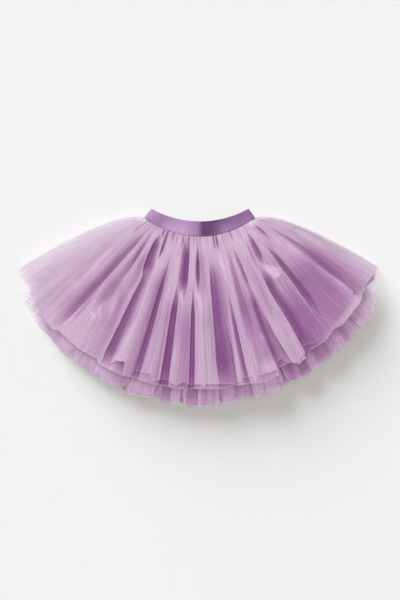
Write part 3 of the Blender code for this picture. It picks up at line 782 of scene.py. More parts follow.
def tulle_material(name, cut, look, tint):
    """Net with painted shade, deeper in colour, down in the creases and painted light at its edges, with
    fine streaks that run down the cloth.
    """
    material, tree, shader = new_material(name)
    metres = flat_place(tree, (-1300, 0), cut)
    stretched = scaled(tree, (-930, 200), metres, (1 / look.streak_width, 1 / look.streak_length, 1))
    streaks = noise_at(tree, (-740, 200), stretched, 1.0, STREAK_DETAIL, STREAK_ROUGHNESS)
    cloudy = noise_at(tree, (-740, -60), metres, CLOUD_SCALE, CLOUD_DETAIL)
    grain = noise_at(tree, (-740, -180), metres, 1 / look.grain_size)
    net = node_at(
        tree, "ShaderNodeTexVoronoi", (-740, -320),
        {"Vector": metres, "Scale": 1 / look.net_cell, "Randomness": NET_UNEVENNESS},
        voronoi_dimensions="2D", feature="DISTANCE_TO_EDGE",
    )
    thread = ranged(tree, (-550, -320), net.outputs["Distance"], 0.0, NET_THREAD, 1.0, 0.0)
    painted_shading = attribute_value(tree, PAINTED_SHADING, (-740, 480))
    painted_light = attribute_value(tree, PAINTED_LIGHT, (-740, 640))
    fullness = attribute_value(tree, FULLNESS, (-740, -560))

    # Colour: painted shade by depth in the creases, varied by the patterns, and painted light at the
    # edges
    colour = ramp_at(
        tree, (-500, 480), painted_shading,
        (0.0, look.crest_colour), (SLOPE_TONE, look.slope_shade_colour), (CREASE_TONE, look.crease_shade_colour),
    )
    value, cloud_value, grain_value = (
        ranged(tree, (-550, height), pattern, *PATTERN_RANGE, 1 - strength, 1 + strength)
        for height, pattern, strength in (
            (200, streaks, look.streak_strength),
            (-60, cloudy, CLOUD_STRENGTH),
            (-180, grain, look.grain_strength),
        )
    )
    for step, factor in enumerate((cloud_value, grain_value, tint)):
        value = math_node(tree, "MULTIPLY", (-350 + 90 * step, 120), value, factor)
    colour = mix_colours(tree, (0, 300), "MULTIPLY", 1.0, colour, value)
    colour = mix_colours(tree, (220, 300), "MIX", painted_light, colour, (*look.highlight_colour, 1))

    # Opacity: the net's, less where it isn't full, with streaks that break up the thin parts
    threads = math_node(tree, "MULTIPLY_ADD", (-180, -320), thread, THREAD_SHARE, OPEN_SHARE)
    body = math_node(tree, "MULTIPLY", (0, -420), fullness, threads)
    thinness = math_node(tree, "SUBTRACT", (-180, -560), 1.0, fullness)
    feather = math_node(tree, "MULTIPLY", (0, -560), thinness, look.feather)
    centred = math_node(tree, "SUBTRACT", (-180, -700), streaks, 0.5)
    opacity = math_node(tree, "MULTIPLY_ADD", (180, -420), centred, feather, body)
    opacity.node.use_clamp = True
    relief = math_node(tree, "MULTIPLY_ADD", (0, -160), thread, THREAD_RELIEF, streaks)
    set_inputs(tree, shader, {
        "Base Color": colour,
        "Alpha": opacity,
        "Normal": bump_at(tree, (400, -200), relief, NET_BUMP, NET_RELIEF),
        "Roughness": look.roughness,
        "Specular IOR Level": look.gloss,
        "Sheen Weight": look.sheen,
        "Sheen Roughness": SHEEN_ROUGHNESS,
    })
    return material


def elastic_material(name, look, flat_map):
    """Satin elastic: fine threads along the band, with painted sheen and shade that vary over it."""
    material, tree, shader = new_material(name)
    if flat_map:
        place = flat_place(tree, (-1100, 0), CUTS["waistband"])
    else:
        place = object_place(tree, (-1100, 0))
    warp = waves_at(tree, (-740, 120), place, "Y", WARP_SCALE, WARP_DISTORTION)
    weft = waves_at(tree, (-740, -160), place, "X", WEFT_SCALE, WEFT_DISTORTION)
    speckle = noise_at(tree, (-740, -420), place, SPECKLE_SCALE)
    colour = ramp_at(
        tree, (-500, 420), attribute_value(tree, PAINTED_SHADING, (-740, 420)),
        (0.0, look.shade_colour), (MIDDLE_TONE, look.middle_colour), (1.0, look.sheen_colour),
    )
    woven = math_node(tree, "MULTIPLY", (-500, 0), warp, weft)
    value = math_node(tree, "MULTIPLY_ADD", (-140, -80), speckle, SPECKLE_STRENGTH, woven)
    value = ranged(tree, (40, -80), value, 0.0, 1.0, *WEAVE_RANGE)
    set_inputs(tree, shader, {
        "Base Color": mix_colours(tree, (260, 200), "MULTIPLY", 1.0, colour, value),
        "Normal": bump_at(tree, (500, -200), woven, WEAVE_BUMP, WEAVE_RELIEF),
        "Roughness": look.roughness,
        "Specular IOR Level": look.gloss,
        "Sheen Weight": look.sheen,
    })
    return material


def thread_material(look):
    """Twisted thread with a fine random mottle of painted shade, meant for the dark between its strands.
    """
    material, tree, shader = new_material("sewing_thread")
    twist = noise_at(tree, (-400, 0), object_place(tree, (-600, 0)), TWIST_SCALE, dimensions="3D")
    shaded = [TWIST_SHADE * part for part in look.thread_colour]
    colour = ramp_at(tree, (-200, 0), twist, (0.0, shaded), (1.0, look.thread_colour))
    set_inputs(tree, shader, {"Base Color": colour, "Roughness": THREAD_ROUGHNESS})
    return material


class TulleLook(bpy.types.PropertyGroup):
    """Colours and net of the tulle, and how deep its folds are."""

    crest_colour: FloatVectorProperty(
        name="Crest colour", description="Cloth on top of the folds", subtype="COLOR",
        default=(0.600, 0.432, 0.598), min=0, max=1,
    )
    # Slope and crease colours are the crest colour with painted shade, deeper in colour where the net
    # stacks up
    slope_shade_colour: FloatVectorProperty(
        name="Slope colour", description="Cloth on the sides of the folds", subtype="COLOR",
        default=(0.430, 0.238, 0.424), min=0, max=1,
    )
    crease_shade_colour: FloatVectorProperty(
        name="Crease colour", description="Cloth down in the creases", subtype="COLOR",
        default=(0.232, 0.076, 0.240), min=0, max=1,
    )
    # Colour of the painted highlights and of the painted light on the sheer sides
    highlight_colour: FloatVectorProperty(
        name="Rim colour", description="Folded and cut edges", subtype="COLOR",
        default=(0.86, 0.69, 0.86), min=0, max=1,
    )
    density: FloatProperty(
        name="Density", description="How much of a layer is cloth", default=0.90, min=0, max=1,
    )
    tip_density: FloatProperty(
        name="Density at the sides", description="How much is cloth at the two side edges",
        default=0.30, min=0, max=1,
    )
    sheer_left: FloatProperty(
        name="Sheer left side", description="Width of the sheer side on the left",
        default=0.100, unit="LENGTH",
    )
    sheer_right: FloatProperty(
        name="Sheer right side", description="Width of the sheer side on the right",
        default=0.034, unit="LENGTH",
    )
    sheer_at_band: FloatProperty(
        name="Sheer at the band", description="The sheer sides' width at the band, as a share",
        default=0.35, min=0, max=1,
    )
    # Painted light on the sheer sides, standing in for the lit floor seen through the net
    light_left: FloatProperty(
        name="Light left side", description="How light the sheer side is on the left",
        default=0.72, min=0, max=1,
    )
    light_right: FloatProperty(
        name="Light right side", description="How light the sheer side is on the right",
        default=0.26, min=0, max=1,
    )
    # Strength of the painted highlight lines along folded edges
    highlight_line_strength: FloatProperty(
        name="Fold lines", description="How far folded edges show", default=0.6, min=0, max=1,
    )
    hem_density: FloatProperty(
        name="Density at the hem", description="How much is cloth at the upper tier's cut edge",
        default=0.94, min=0, max=1,
    )
    lower_hem_density: FloatProperty(
        name="Density at the lower hem", description="How much is cloth at the lower tier's cut edge",
        default=0.46, min=0, max=1,
    )
    feather: FloatProperty(
        name="Feather", description="How far streaks break up the net where it is thin",
        default=0.7, min=0,
    )
    fold_depth: FloatProperty(
        name="Fold depth", description="Depth of the folds", default=0.60, min=0, max=1.2,
    )
    net_cell: FloatProperty(
        name="Net cell", description="Size of the net's openings",
        default=0.0011, min=0.0005, unit="LENGTH",
    )
    streak_width: FloatProperty(
        name="Streak width", description="Width of a streak", default=0.0034, unit="LENGTH",
    )
    streak_length: FloatProperty(
        name="Streak length", description="Length of a streak", default=0.07, unit="LENGTH",
    )
    streak_strength: FloatProperty(
        name="Streak strength", description="How far the streaks show", default=0.10,
    )
    grain_size: FloatProperty(
        name="Grain size", description="Size of the weave's mottle", default=0.0026, unit="LENGTH",
    )
    grain_strength: FloatProperty(
        name="Grain strength", description="How far the mottle shows", default=0.12,
    )
    roughness: FloatProperty(
        name="Roughness", description="Roughness of the tulle", default=0.50, min=0, max=1,
    )
    gloss: FloatProperty(
        name="Gloss", description="Specular level of the tulle", default=0.15, min=0, max=1,
    )
    sheen: FloatProperty(name="Sheen", description="Sheen of the tulle", default=0.05, min=0, max=1)


class ElasticLook(bpy.types.PropertyGroup):
    """Colours, ribs and stitches of the waistband."""

    # Painted sheen of the satin elastic
    sheen_colour: FloatVectorProperty(
        name="Light colour", description="Satin side of the elastic", subtype="COLOR",
        default=(0.62, 0.42, 0.66), min=0, max=1,
    )
    middle_colour: FloatVectorProperty(
        name="Middle colour", description="Elastic between its light and dark", subtype="COLOR",
        default=(0.27, 0.132, 0.325), min=0, max=1,
    )
    # Painted shade where the elastic turns from the light
    shade_colour: FloatVectorProperty(
        name="Dark colour", description="Elastic where it turns from the light", subtype="COLOR",
        default=(0.085, 0.026, 0.100), min=0, max=1,
    )
    thread_colour: FloatVectorProperty(
        name="Thread colour", description="Sewing thread", subtype="COLOR",
        default=(0.42, 0.26, 0.46), min=0, max=1,
    )
    roughness: FloatProperty(
        name="Roughness", description="Roughness of the elastic", default=0.42, min=0, max=1,
    )
    gloss: FloatProperty(
        name="Gloss", description="Specular level of the elastic", default=0.25, min=0, max=1,
    )
    sheen: FloatProperty(name="Sheen", description="Sheen of the elastic", default=0.06, min=0, max=1)
    wall: FloatProperty(
        name="Wall", description="Thickness of the elastic", default=0.0012, unit="LENGTH",
    )
    ribs: IntProperty(name="Ribs", description="Raised cords across the elastic", default=15, min=3)
    rib_radius: FloatProperty(
        name="Rib radius", description="Radius of a cord", default=0.00032, unit="LENGTH",
    )
    stitch_length: FloatProperty(
        name="Stitch length", description="Length of a stitch", default=0.0019, unit="LENGTH",
    )
    stitch_pitch: FloatProperty(
        name="Stitch pitch", description="Space from stitch to stitch", default=0.0027, unit="LENGTH",
    )
    stitch_radius: FloatProperty(
        name="Stitch radius", description="Radius of the thread", default=0.00026, unit="LENGTH",
    )


class StageLook(bpy.types.PropertyGroup):
    """Floor, light and camera."""

    floor_size: FloatProperty(
        name="Floor size", description="Side of the floor", default=30.0, unit="LENGTH",
    )
    floor_colour: FloatVectorProperty(
        name="Floor colour", description="Colour of the floor", subtype="COLOR",
        default=(0.93, 0.93, 0.93), min=0, max=1,
    )
    shadow_strength: FloatProperty(
        name="Shadow strength", description="Low light on the floor", default=5.35,
    )
    shadow_width: FloatProperty(
        name="Shadow width", description="Its apparent width in degrees", default=30.0,
    )
    shadow_height: FloatProperty(name="Shadow height", description="Its height in degrees", default=16.5)
    shadow_bearing: FloatProperty(
        name="Shadow bearing", description="Degrees from +Y towards -X", default=31.0,
    )
    key_strength: FloatProperty(
        name="Key strength", description="Higher light on the cloth", default=2.30,
    )
    key_width: FloatProperty(name="Key width", description="Its apparent width in degrees", default=40.0)
    key_height: FloatProperty(name="Key height", description="Its height in degrees", default=42.0)
    key_bearing: FloatProperty(
        name="Key bearing", description="Degrees from +Y towards -X", default=28.0,
    )
    fill_strength: FloatProperty(
        name="Fill strength", description="Soft light on the cloth from the other side", default=1.0,
    )
    fill_width: FloatProperty(
        name="Fill width", description="Its apparent width in degrees", default=70.0,
    )
    fill_height: FloatProperty(name="Fill height", description="Its height in degrees", default=30.0)
    fill_bearing: FloatProperty(
        name="Fill bearing", description="Degrees from +Y towards -X", default=245.0,
    )
    top_strength: FloatProperty(
        name="Top strength", description="Strength of the light overhead", default=1.10,
    )
    top_width: FloatProperty(name="Top width", description="Its apparent width in degrees", default=45.0)
    sky_strength: FloatProperty(
        name="Sky strength", description="Strength of the light all round", default=0.17,
    )
    shadow_key_colour: FloatVectorProperty(
        name="Shadow key colour", description="Colour of the low light on the floor", subtype="COLOR",
        default=(0.93, 0.96, 1.0), min=0, max=1,
    )
    key_colour: FloatVectorProperty(
        name="Key colour", description="Colour of the light on the cloth", subtype="COLOR",
        default=(0.985, 0.995, 1.0), min=0, max=1,
    )
    top_colour: FloatVectorProperty(
        name="Top colour", description="Colour of the light overhead", subtype="COLOR",
        default=(1.0, 0.97, 0.93), min=0, max=1,
    )
    lens: FloatProperty(name="Lens", description="Focal length in millimetres", default=85.0)
    view_height: FloatProperty(
        name="View height", description="Height of the floor in view", default=1.02, unit="LENGTH",
    )
    view_up: FloatProperty(
        name="View up", description="The view's middle above the fan's", default=0.0136, unit="LENGTH",
    )


# Over what length the cloth gets thin towards its cut edge, and how much thinner inner panels' sides are
HEM_LENGTH = 0.003
LOWER_HEM_LENGTH = 0.016
THIN_CORNERS = 0.3  # how much thinner the cut edge is at a panel's sides
INNER_SHEER = 0.55
BACK_SHEER = 0.85
SIDE_FOLD = 0.16  # how much fuller the cloth is at its folded side edges
SIDE_FOLD_WIDTH = 0.0018
CUT_LINE = 0.26  # how light the painted highlight along the cut edge is
CUT_LINE_WIDTH = 0.0016


def fullness_of(points, along, look, lower=False):
    """How much of the net is cloth: sheer at the side edges and thinner at the cut edge."""
    from_left = np.linalg.norm(points[..., :2] - points[:, :1, :2], axis=2)
    from_right = np.linalg.norm(points[..., :2] - points[:, -1:, :2], axis=2)
    opening = look.sheer_at_band + (1 - look.sheer_at_band) * np.clip(along, 0, 1)
    inwards = eased(from_left / (look.sheer_left * opening))
    inwards *= eased(from_right / (look.sheer_right * opening))
    body = look.tip_density + (look.density - look.tip_density) * inwards
    fold = SIDE_FOLD * (1 - eased(np.minimum(from_left, from_right) / SIDE_FOLD_WIDTH))
    to_hem = (along[-1] - along) * HEM_RADIUS
    density, length = look.hem_density, HEM_LENGTH
    if lower:
        density, length = look.lower_hem_density, LOWER_HEM_LENGTH
    thin = density * (1 - THIN_CORNERS + THIN_CORNERS * inwards)
    return (body + fold) * (thin + (1 - thin) * eased(to_hem / length)), 1 - inwards


def painted_light_of(points, along, sheer, painted_light, look):
    """Painted highlight lines along folds and the cut edge, and painted light where the net is sheer."""
    cut = CUT_LINE * (1 - eased((along[-1] - along) * HEM_RADIUS / CUT_LINE_WIDTH))
    side = np.where(points[..., 0] < 0, look.light_left, look.light_right)
    return np.maximum(side * sheer, np.maximum(look.highlight_line_strength * painted_light, cut))


def tulle_piece(name, layer, points, painted_shading, fullness, painted_light, tint):
    """A panel's mesh with its attributes and its net, which stands for the panel's node."""
    mesh = panel_mesh(name, points)
    for attribute, values in ((PAINTED_SHADING, painted_shading), (FULLNESS, fullness), (PAINTED_LIGHT, painted_light)):
        add_attribute(mesh, attribute, values)
    material = tulle_material(name + "_tulle", CUTS[name], bpy.context.scene.tulle_look, tint)
    piece = add_piece(name + "_tulle", mesh, material)
    stand_for(piece, name)
    return piece


def make_front(layer, base, creases, glints, seed):
    """A layer's front panel, in the tier of the base layer."""
    look = bpy.context.scene.tulle_look
    name = layer.name + "_front"
    points, painted_shading, painted_light, along = front_panel(layer, base, creases, glints, look.fold_depth, seed)
    fullness, sheer = fullness_of(points, along, look, base is not OUTER)
    if layer is not base:
        fullness = fullness * (1 - INNER_SHEER * sheer)
    painted_light = painted_light_of(points, along, sheer, painted_light, look)
    piece = tulle_piece(name, layer, points, painted_shading, fullness, painted_light, layer.tint)


def make_back(layer, seed):
    """A back panel, flat where it lies, with soft ripples, and stepped up onto the band's lower ply."""
    look = bpy.context.scene.tulle_look
    name = layer.name + "_back"
    shares = np.linspace(-1, 1, BACK_COLUMNS + 1)
    hem = [(-share, along - BACK_SHORTER) for share, along in reversed(HEMS[layer.name])]
    along = ray_rows(shares, hem, BACK_ROWS, OUTER_FRAY, seed)
    flat = plan(shares + 0 * along, along, layer, layer)
    ripple = ripples(seed, shares, along)
    height = rest_height(layer, along) + BACK_RIPPLE * ripple * eased(along / RIPPLE_LEAD)
    points = np.concatenate((flat, height[..., None]), axis=2)
    # Painted shade, varied with the ripples
    painted_shading = BACK_SHADE + BACK_SHADE_RIPPLE * ripple
    fullness, sheer = fullness_of(points, along, look)
    fullness = fullness * (1 - BACK_SHEER * sheer)
    painted_light = painted_light_of(points, along, sheer, 0 * along, look)
    turned = (values[:, ::-1] for values in (points, painted_shading, fullness, painted_light))  # so its faces point down
    piece = tulle_piece(name, layer, *turned, BACK_PAINTED_BRIGHTNESS)


# The middle of the upper ply is this far above the lower ply's, at the elastic's lower and upper edge
BAND_RISE_LOWER = 0.0142
BAND_RISE_UPPER = 0.0026
BAND_SLOPE_POWER = 1.3
BAND_WALL = 0.0015
BAND_END_SHARE = 0.955
BAND_STEPS = 150
BAND_FOLD_STEPS = 12
BAND_ROWS = 26
PUCKER_HEIGHT = 0.00035  # where the tulle is sewn to it
PUCKER_RADIANS = 95  # of its wave, over half the band
PUCKER_REACH = 0.35
SEAM_ROWS = (0.05, 0.13)  # the rows of stitches, as shares of the elastic's width from its lower edge
# Painted sheen and shade along the upper ply from left to right: a share, and how light it is at its
# lower and at its upper edge
PAINTED_BAND_SHADING = (
    (-1, 0.8, 0.76), (-0.9, 0.62, 0.76), (-0.74, 0.52, 0.5), (-0.56, 0.8, 0.58), (-0.3, 0.91, 0.68),
    (-0.12, 0.64, 0.54), (-0.03, 0.5, 0.46), (0.05, 0.02, 0.08), (0.18, 0.04, 0.05), (0.28, 0.2, 0.08),
    (0.42, 0.54, 0.18), (0.65, 0.46, 0.3), (0.8, 0.44, 0.28), (0.92, 0.46, 0.34), (1, 0.34, 0.22),
)
# The lower ply's painted shading, the same all round
UNDER_PLY_SHADING = 0.5
RIB_SIDES = 6
STITCH_SEGMENTS = 8
STITCH_RINGS = 6


def band_ring():
    """Places round the loop: a share of the half-span, and 1 on the upper ply or -1 on the lower."""
    turns = np.radians(np.linspace(90, -90, BAND_FOLD_STEPS + 1))
    plies = np.linspace(-BAND_END_SHARE, BAND_END_SHARE, BAND_STEPS + 1)
    bend = 1 - BAND_END_SHARE
    ring = [(share, 1.0) for share in plies[:-1]]
    ring += [(BAND_END_SHARE + bend * math.cos(turn), math.sin(turn)) for turn in turns]
    ring += [(share, -1.0) for share in plies[-2:0:-1]]
    ring += [(-BAND_END_SHARE - bend * math.cos(turn), math.sin(turn)) for turn in turns[::-1]]
    return np.array(ring[:-1])


def painted_band_shading(across):
    """Painted sheen and shade of the elastic at each of the points of band_points."""
    ring = band_ring()
    rows = np.array(PAINTED_BAND_SHADING).T
    lower, upper = (np.interp(ring[:, 0], rows[0], row) for row in rows[1:])
    painted_shading = lower + (upper - lower) * eased(np.array(across))[:, None]
    return np.where(ring[:, 1] > 0, painted_shading, UNDER_PLY_SHADING)


def band_points(across, out=0.0, lowest=0.0):
    """Rows of points on the elastic, each once round the loop, moved out from the middle of its wall."""
    ring = band_ring()
    rises = BAND_RISE_LOWER + (BAND_RISE_UPPER - BAND_RISE_LOWER) * np.array(across) ** BAND_SLOPE_POWER
    lower = on_arc(BAND_LOWER_CENTRE, BAND_LOWER_RADIUS, BAND_LOWER_HALF_ANGLE * ring[:, 0])
    upper = on_arc(BAND_UPPER_CENTRE, BAND_UPPER_RADIUS, BAND_UPPER_HALF_ANGLE * ring[:, 0])
    flat = lower + (upper - lower) * np.array(across)[:, None, None] + MIDDLE
    half_rise = rises[:, None] / 2
    level = BAND_WALL / 2 + half_rise * (1 + ring[:, 1])
    sewn = 1 - eased(np.array(across) / PUCKER_REACH)
    pucker = PUCKER_HEIGHT * np.sin(ring[:, 0] * PUCKER_RADIANS) * sewn[:, None]
    level = np.maximum(level + out * ring[:, 1] + pucker * np.clip(ring[:, 1], 0, 1), lowest)
    return np.concatenate((flat, level[..., None]), axis=2)


def geometry_tree(name, sizes):
    """A tree that takes lines, named sizes and a material, and its inputs as sockets."""
    tree = bpy.data.node_groups.new(name, "GeometryNodeTree")
    for way in ("INPUT", "OUTPUT"):
        tree.interface.new_socket(name="Geometry", in_out=way, socket_type="NodeSocketGeometry")
    for size, default in sizes.items():
        kind = "NodeSocketInt" if isinstance(default, int) else "NodeSocketFloat"
        socket = tree.interface.new_socket(name=size, in_out="INPUT", socket_type=kind)
        socket.default_value = default
    tree.interface.new_socket(name="Material", in_out="INPUT", socket_type="NodeSocketMaterial")
    return tree, node_at(tree, "NodeGroupInput", (-700, 0)).outputs


def finish_tree(tree, geometry, material):
    """Realizes the instances, sets the material and ends the tree."""
    realize = node_at(tree, "GeometryNodeRealizeInstances", (900, 0), {0: geometry})
    inputs = {"Geometry": realize.outputs[0], "Material": material}
    paint = node_at(tree, "GeometryNodeSetMaterial", (1080, 0), inputs)
    node_at(tree, "NodeGroupOutput", (1260, 0), {0: paint.outputs[0]})
    return tree


def rib_tree():
    """Round cords along every line of the input."""
    tree, given = geometry_tree("Elastic ribs", {"Radius": 0.0003})
    lines = node_at(tree, "GeometryNodeMeshToCurve", (-200, 0), {"Mesh": given["Geometry"]})
    round_wire = {"Resolution": RIB_SIDES, "Radius": given["Radius"]}
    profile = node_at(tree, "GeometryNodeCurvePrimitiveCircle", (-200, -200), round_wire)
    curves = {"Curve": lines.outputs["Curve"], "Profile Curve": profile.outputs["Curve"]}
    sweep = node_at(tree, "GeometryNodeCurveToMesh", (100, 0), curves)
    smooth = node_at(tree, "GeometryNodeSetShadeSmooth", (300, 0), {0: sweep.outputs["Mesh"]})
    return finish_tree(tree, smooth.outputs[0], given["Material"])


def stitch_tree():
    """A stitch at every step along every line of the input, each a short thread along the line."""
    sizes = {"Pitch": 0.003, "Length": 0.002, "Radius": 0.0003, "Unevenness": 0.18, "Seed": 4}
    tree, given = geometry_tree("Stitches", sizes)
    lines = node_at(tree, "GeometryNodeMeshToCurve", (-500, 100), {"Mesh": given["Geometry"]})
    steps = {"Curve": lines.outputs["Curve"], "Length": given["Pitch"]}
    points = node_at(tree, "GeometryNodeCurveToPoints", (-300, 100), steps, mode="LENGTH")

    ball = {"Segments": STITCH_SEGMENTS, "Rings": STITCH_RINGS, "Radius": 1.0}
    thread = node_at(tree, "GeometryNodeMeshUVSphere", (-300, -250), ball)
    half = math_node(tree, "DIVIDE", (-300, -450), given["Length"], 2.0)
    radii = {"X": given["Radius"], "Y": given["Radius"], "Z": half}
    size = node_at(tree, "ShaderNodeCombineXYZ", (-100, -350), radii)
    stretched = {"Geometry": thread.outputs["Mesh"], "Scale": size.outputs[0]}
    shaped = node_at(tree, "GeometryNodeTransform", (80, -250), stretched)
    smooth = node_at(tree, "GeometryNodeSetShadeSmooth", (250, -250), {0: shaped.outputs[0]})

    low = math_node(tree, "SUBTRACT", (80, -480), 1.0, given["Unevenness"])
    high = math_node(tree, "ADD", (80, -640), 1.0, given["Unevenness"])
    vary = node_at(
        tree, "FunctionNodeRandomValue", (300, -480), {2: low, 3: high, "Seed": given["Seed"]}
    )
    place = node_at(tree, "GeometryNodeInstanceOnPoints", (560, 0), {
        "Points": points.outputs["Points"],
        "Instance": smooth.outputs[0],
        "Rotation": points.outputs["Rotation"],
        "Scale": vary.outputs[1],
    })
    return finish_tree(tree, place.outputs[0], given["Material"])


def line_mesh(name, rows):
    """Loops of loose edges, one for each row of points."""
    mesh = bpy.data.meshes.new(name)
    count = rows.shape[1]
    edges = []
    for first in range(0, rows.shape[0] * count, count):
        edges += [(first + i, first + (i + 1) % count) for i in range(count)]
    mesh.from_pydata(rows.reshape(-1, 3).tolist(), edges, [])
    return mesh


def grown(name, lines, tree, values):
    """The plain mesh that a geometry tree makes from a mesh of lines."""
    guide = bpy.data.objects.new(name + "_guide", lines)
    bpy.context.scene.collection.objects.link(guide)
    modifier = guide.modifiers.new("Shape", "NODES")
    modifier.node_group = tree
    for socket in tree.interface.items_tree:
        if socket.in_out == "INPUT" and socket.name in values:
            modifier[socket.identifier] = values[socket.name]
    graph = bpy.context.evaluated_depsgraph_get()
    mesh = bpy.data.meshes.new_from_object(guide.evaluated_get(graph))
    bpy.data.objects.remove(guide)
    mesh.name = name
    return mesh


class SKIRT_OT_waistband(bpy.types.Operator):
    """Make the elastic loop with its ribs"""

    bl_idname = "skirt.waistband"
    bl_label = "Waistband"

    def execute(self, context):
        look = context.scene.elastic_look
        across = np.linspace(0, 1, BAND_ROWS)
        mesh = panel_mesh("waistband", band_points(across)[::-1], closed=True)
        add_attribute(mesh, PAINTED_SHADING, painted_band_shading(across)[::-1])
        band = add_piece("waistband_elastic", mesh, elastic_material("satin_elastic", look, True))
        solidify = band.modifiers.new("Wall", "SOLIDIFY")
        solidify.thickness = look.wall
        solidify.offset = 0
        stand_for(band, "waistband")

        across = (np.arange(look.ribs) + 0.5) / look.ribs
        lines = line_mesh("rib_lines", band_points(across, look.wall / 2, look.rib_radius))
        # The ribs carry the band's painted sheen and shade
        add_attribute(lines, PAINTED_SHADING, painted_band_shading(across))
        rib_material = elastic_material("elastic_rib", look, False)
        values = {"Radius": look.rib_radius, "Material": rib_material}
        mesh = grown("waistband_ribs", lines, rib_tree(), values)
        ribs = add_piece("waistband_ribs", mesh, rib_material)
        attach(ribs, "root")
        return {"FINISHED"}


class SKIRT_OT_stitches(bpy.types.Operator):
    """Sew the tulle to the elastic along its lower edge"""

    bl_idname = "skirt.stitches"
    bl_label = "Stitches"

    def execute(self, context):
        look = context.scene.elastic_look
        rows = band_points(SEAM_ROWS, look.wall / 2 + look.stitch_radius, look.stitch_radius)
        material = thread_material(look)
        values = {
            "Pitch": look.stitch_pitch,
            "Length": look.stitch_length,
            "Radius": look.stitch_radius,
            "Material": material,
        }
        mesh = grown("waistband_stitches", line_mesh("stitch_lines", rows), stitch_tree(), values)
        piece = add_piece("waistband_stitches", mesh, material)
        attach(piece, "root")
        return {"FINISHED"}


class SKIRT_OT_upper_tier(bpy.types.Operator):
    """Make the two front panels of the upper tier"""

    bl_idname = "skirt.upper_tier"
    bl_label = "Upper tier"

    def execute(self, context):
        creases = list(UPPER_CREASES) + gathers()
        creases += soft_creases(8, SMALL_FOLDS) + soft_creases(5, BROAD_FOLDS)
        make_front(OUTER, OUTER, creases, UPPER_GLINTS, seed=11)
        make_front(SECOND, OUTER, creases + list(SECOND_CREASES), SECOND_GLINTS, seed=11)
        return {"FINISHED"}


class SKIRT_OT_lower_tier(bpy.types.Operator):
    """Make the two front panels of the lower tier"""

    bl_idname = "skirt.lower_tier"
    bl_label = "Lower tier"

    def execute(self, context):
        creases = list(LOWER_CREASES) + soft_creases(21, LOWER_FOLDS)
        make_front(UNDER, UNDER, creases, (), seed=17)
        make_front(PETTICOAT, UNDER, creases, (), seed=17)
        return {"FINISHED"}


class SKIRT_OT_back_panels(bpy.types.Operator):
    """Make the four back panels, which lie flat"""

    bl_idname = "skirt.back_panels"
    bl_label = "Back panels"

    def execute(self, context):
        for seed, layer in enumerate(LAYERS, BACK_SEED):
            make_back(layer, seed)
        return {"FINISHED"}


FLOOR_ROUGHNESS = 0.9
FLOOR_GLOSS = 0.1
FLOOR_MOTTLE = 0.995
FLOOR_MOTTLE_SCALE = 1.5
SKY_COLOUR = (1.0, 0.965, 0.925)
SHEER_LAYERS = 24  # that light passes through
CLOTH_LEVEL = 0.02  # the view's height is measured at this level


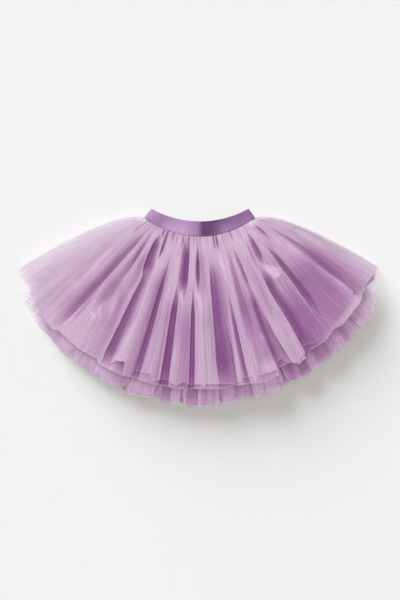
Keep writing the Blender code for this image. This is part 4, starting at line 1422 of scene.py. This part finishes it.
class SKIRT_OT_stage(bpy.types.Operator):
    """Make the floor, the light and the camera"""

    bl_idname = "skirt.stage"
    bl_label = "Stage"

    def execute(self, context):
        look = context.scene.stage_look
        self.floor(look)
        self.light(context, look)
        self.camera(context, look)
        return {"FINISHED"}

    def floor(self, look):
        half = look.floor_size / 2
        mesh = bpy.data.meshes.new("floor")
        corners = [(-half, -half, 0), (half, -half, 0), (half, half, 0), (-half, half, 0)]
        mesh.from_pydata(corners, [], [(0, 1, 2, 3)])
        material, tree, shader = new_material("pale_floor")
        place = object_place(tree, (-600, 0))
        mottle = noise_at(tree, (-400, 0), place, FLOOR_MOTTLE_SCALE, dimensions="3D")
        lighter = (*look.floor_colour, 1)
        darker = (*(FLOOR_MOTTLE * part for part in look.floor_colour), 1)
        colour = mix_colours(tree, (-100, 0), "MIX", mottle, lighter, darker)
        finish = {"Base Color": colour, "Roughness": FLOOR_ROUGHNESS, "Specular IOR Level": FLOOR_GLOSS}
        set_inputs(tree, shader, finish)
        add_piece("floor", mesh, material, STAGE_SET)

    def light(self, context, look):
        self.lamp(
            context, "shadow_key", look.shadow_strength, look.shadow_key_colour, look.shadow_width,
            look.shadow_height, look.shadow_bearing, STAGE_SET,
        )
        self.lamp(
            context, "cloth_key", look.key_strength, look.key_colour, look.key_width,
            look.key_height, look.key_bearing, SKIRT_SET,
        )
        self.lamp(
            context, "cloth_fill", look.fill_strength, (1, 1, 1), look.fill_width,
            look.fill_height, look.fill_bearing, SKIRT_SET,
        )
        self.lamp(context, "top", look.top_strength, look.top_colour, look.top_width)
        world = bpy.data.worlds.new("studio")
        world.use_nodes = True
        sky = {"Color": (*SKY_COLOUR, 1), "Strength": look.sky_strength}
        set_inputs(world.node_tree, world.node_tree.nodes["Background"], sky)
        context.scene.world = world
        context.scene.view_settings.view_transform = "Standard"
        context.scene.cycles.transparent_max_bounces = SHEER_LAYERS

    def lamp(self, context, name, strength, colour, width, height=90, bearing=-180, lit=None):
        """A soft light, overhead or at a height and a bearing, that may fall on one collection only."""
        data = bpy.data.lights.new(name, "SUN")
        data.energy = strength
        data.color = colour
        data.angle = math.radians(width)
        lamp = bpy.data.objects.new(name, data)
        lamp.rotation_euler = (math.radians(90 - height), 0, math.radians(180 + bearing))
        context.scene.collection.objects.link(lamp)
        if lit:
            lamp.light_linking.receiver_collection = collection_of(lit)

    def camera(self, context, look):
        data = bpy.data.cameras.new("camera")
        data.lens = look.lens
        camera = bpy.data.objects.new("camera", data)
        distance = look.lens / data.sensor_width * look.view_height
        camera.location = (MIDDLE[0], MIDDLE[1] + look.view_up, distance + CLOTH_LEVEL)
        context.scene.collection.objects.link(camera)
        context.scene.camera = camera


class SKIRT_PT_panel(bpy.types.Panel):
    """Lists the pieces, the stage and their settings"""

    bl_idname = "SKIRT_PT_panel"
    bl_label = "Tulle Skirt"
    bl_space_type = "VIEW_3D"
    bl_region_type = "UI"
    bl_category = "Skirt"

    def draw(self, context):
        for operator in OPERATORS:
            self.layout.operator(operator.bl_idname)
        for name, kind in LOOKS.items():
            box = self.layout.box()
            box.label(text=kind.bl_rna.name)
            for setting in kind.__annotations__:
                box.prop(getattr(context.scene, name), setting)


OPERATORS = (
    SKIRT_OT_stage,
    SKIRT_OT_back_panels,
    SKIRT_OT_lower_tier,
    SKIRT_OT_upper_tier,
    SKIRT_OT_waistband,
    SKIRT_OT_stitches,
)
LOOKS = {"tulle_look": TulleLook, "elastic_look": ElasticLook, "stage_look": StageLook}


def register():
    for kind in (*LOOKS.values(), *OPERATORS, SKIRT_PT_panel):
        bpy.utils.register_class(kind)
    for name, kind in LOOKS.items():
        setattr(bpy.types.Scene, name, PointerProperty(type=kind))


def unregister():
    for name in LOOKS:
        delattr(bpy.types.Scene, name)
    for kind in (SKIRT_PT_panel, *reversed(OPERATORS), *reversed(LOOKS.values())):
        bpy.utils.unregister_class(kind)


def main():
    register()
    bpy.ops.skirt.stage()
    bpy.ops.skirt.back_panels()
    bpy.ops.skirt.lower_tier()
    bpy.ops.skirt.upper_tier()
    bpy.ops.skirt.waistband()
    bpy.ops.skirt.stitches()
    bpy.context.view_layer.update()


if __name__ == "__main__":
    main()
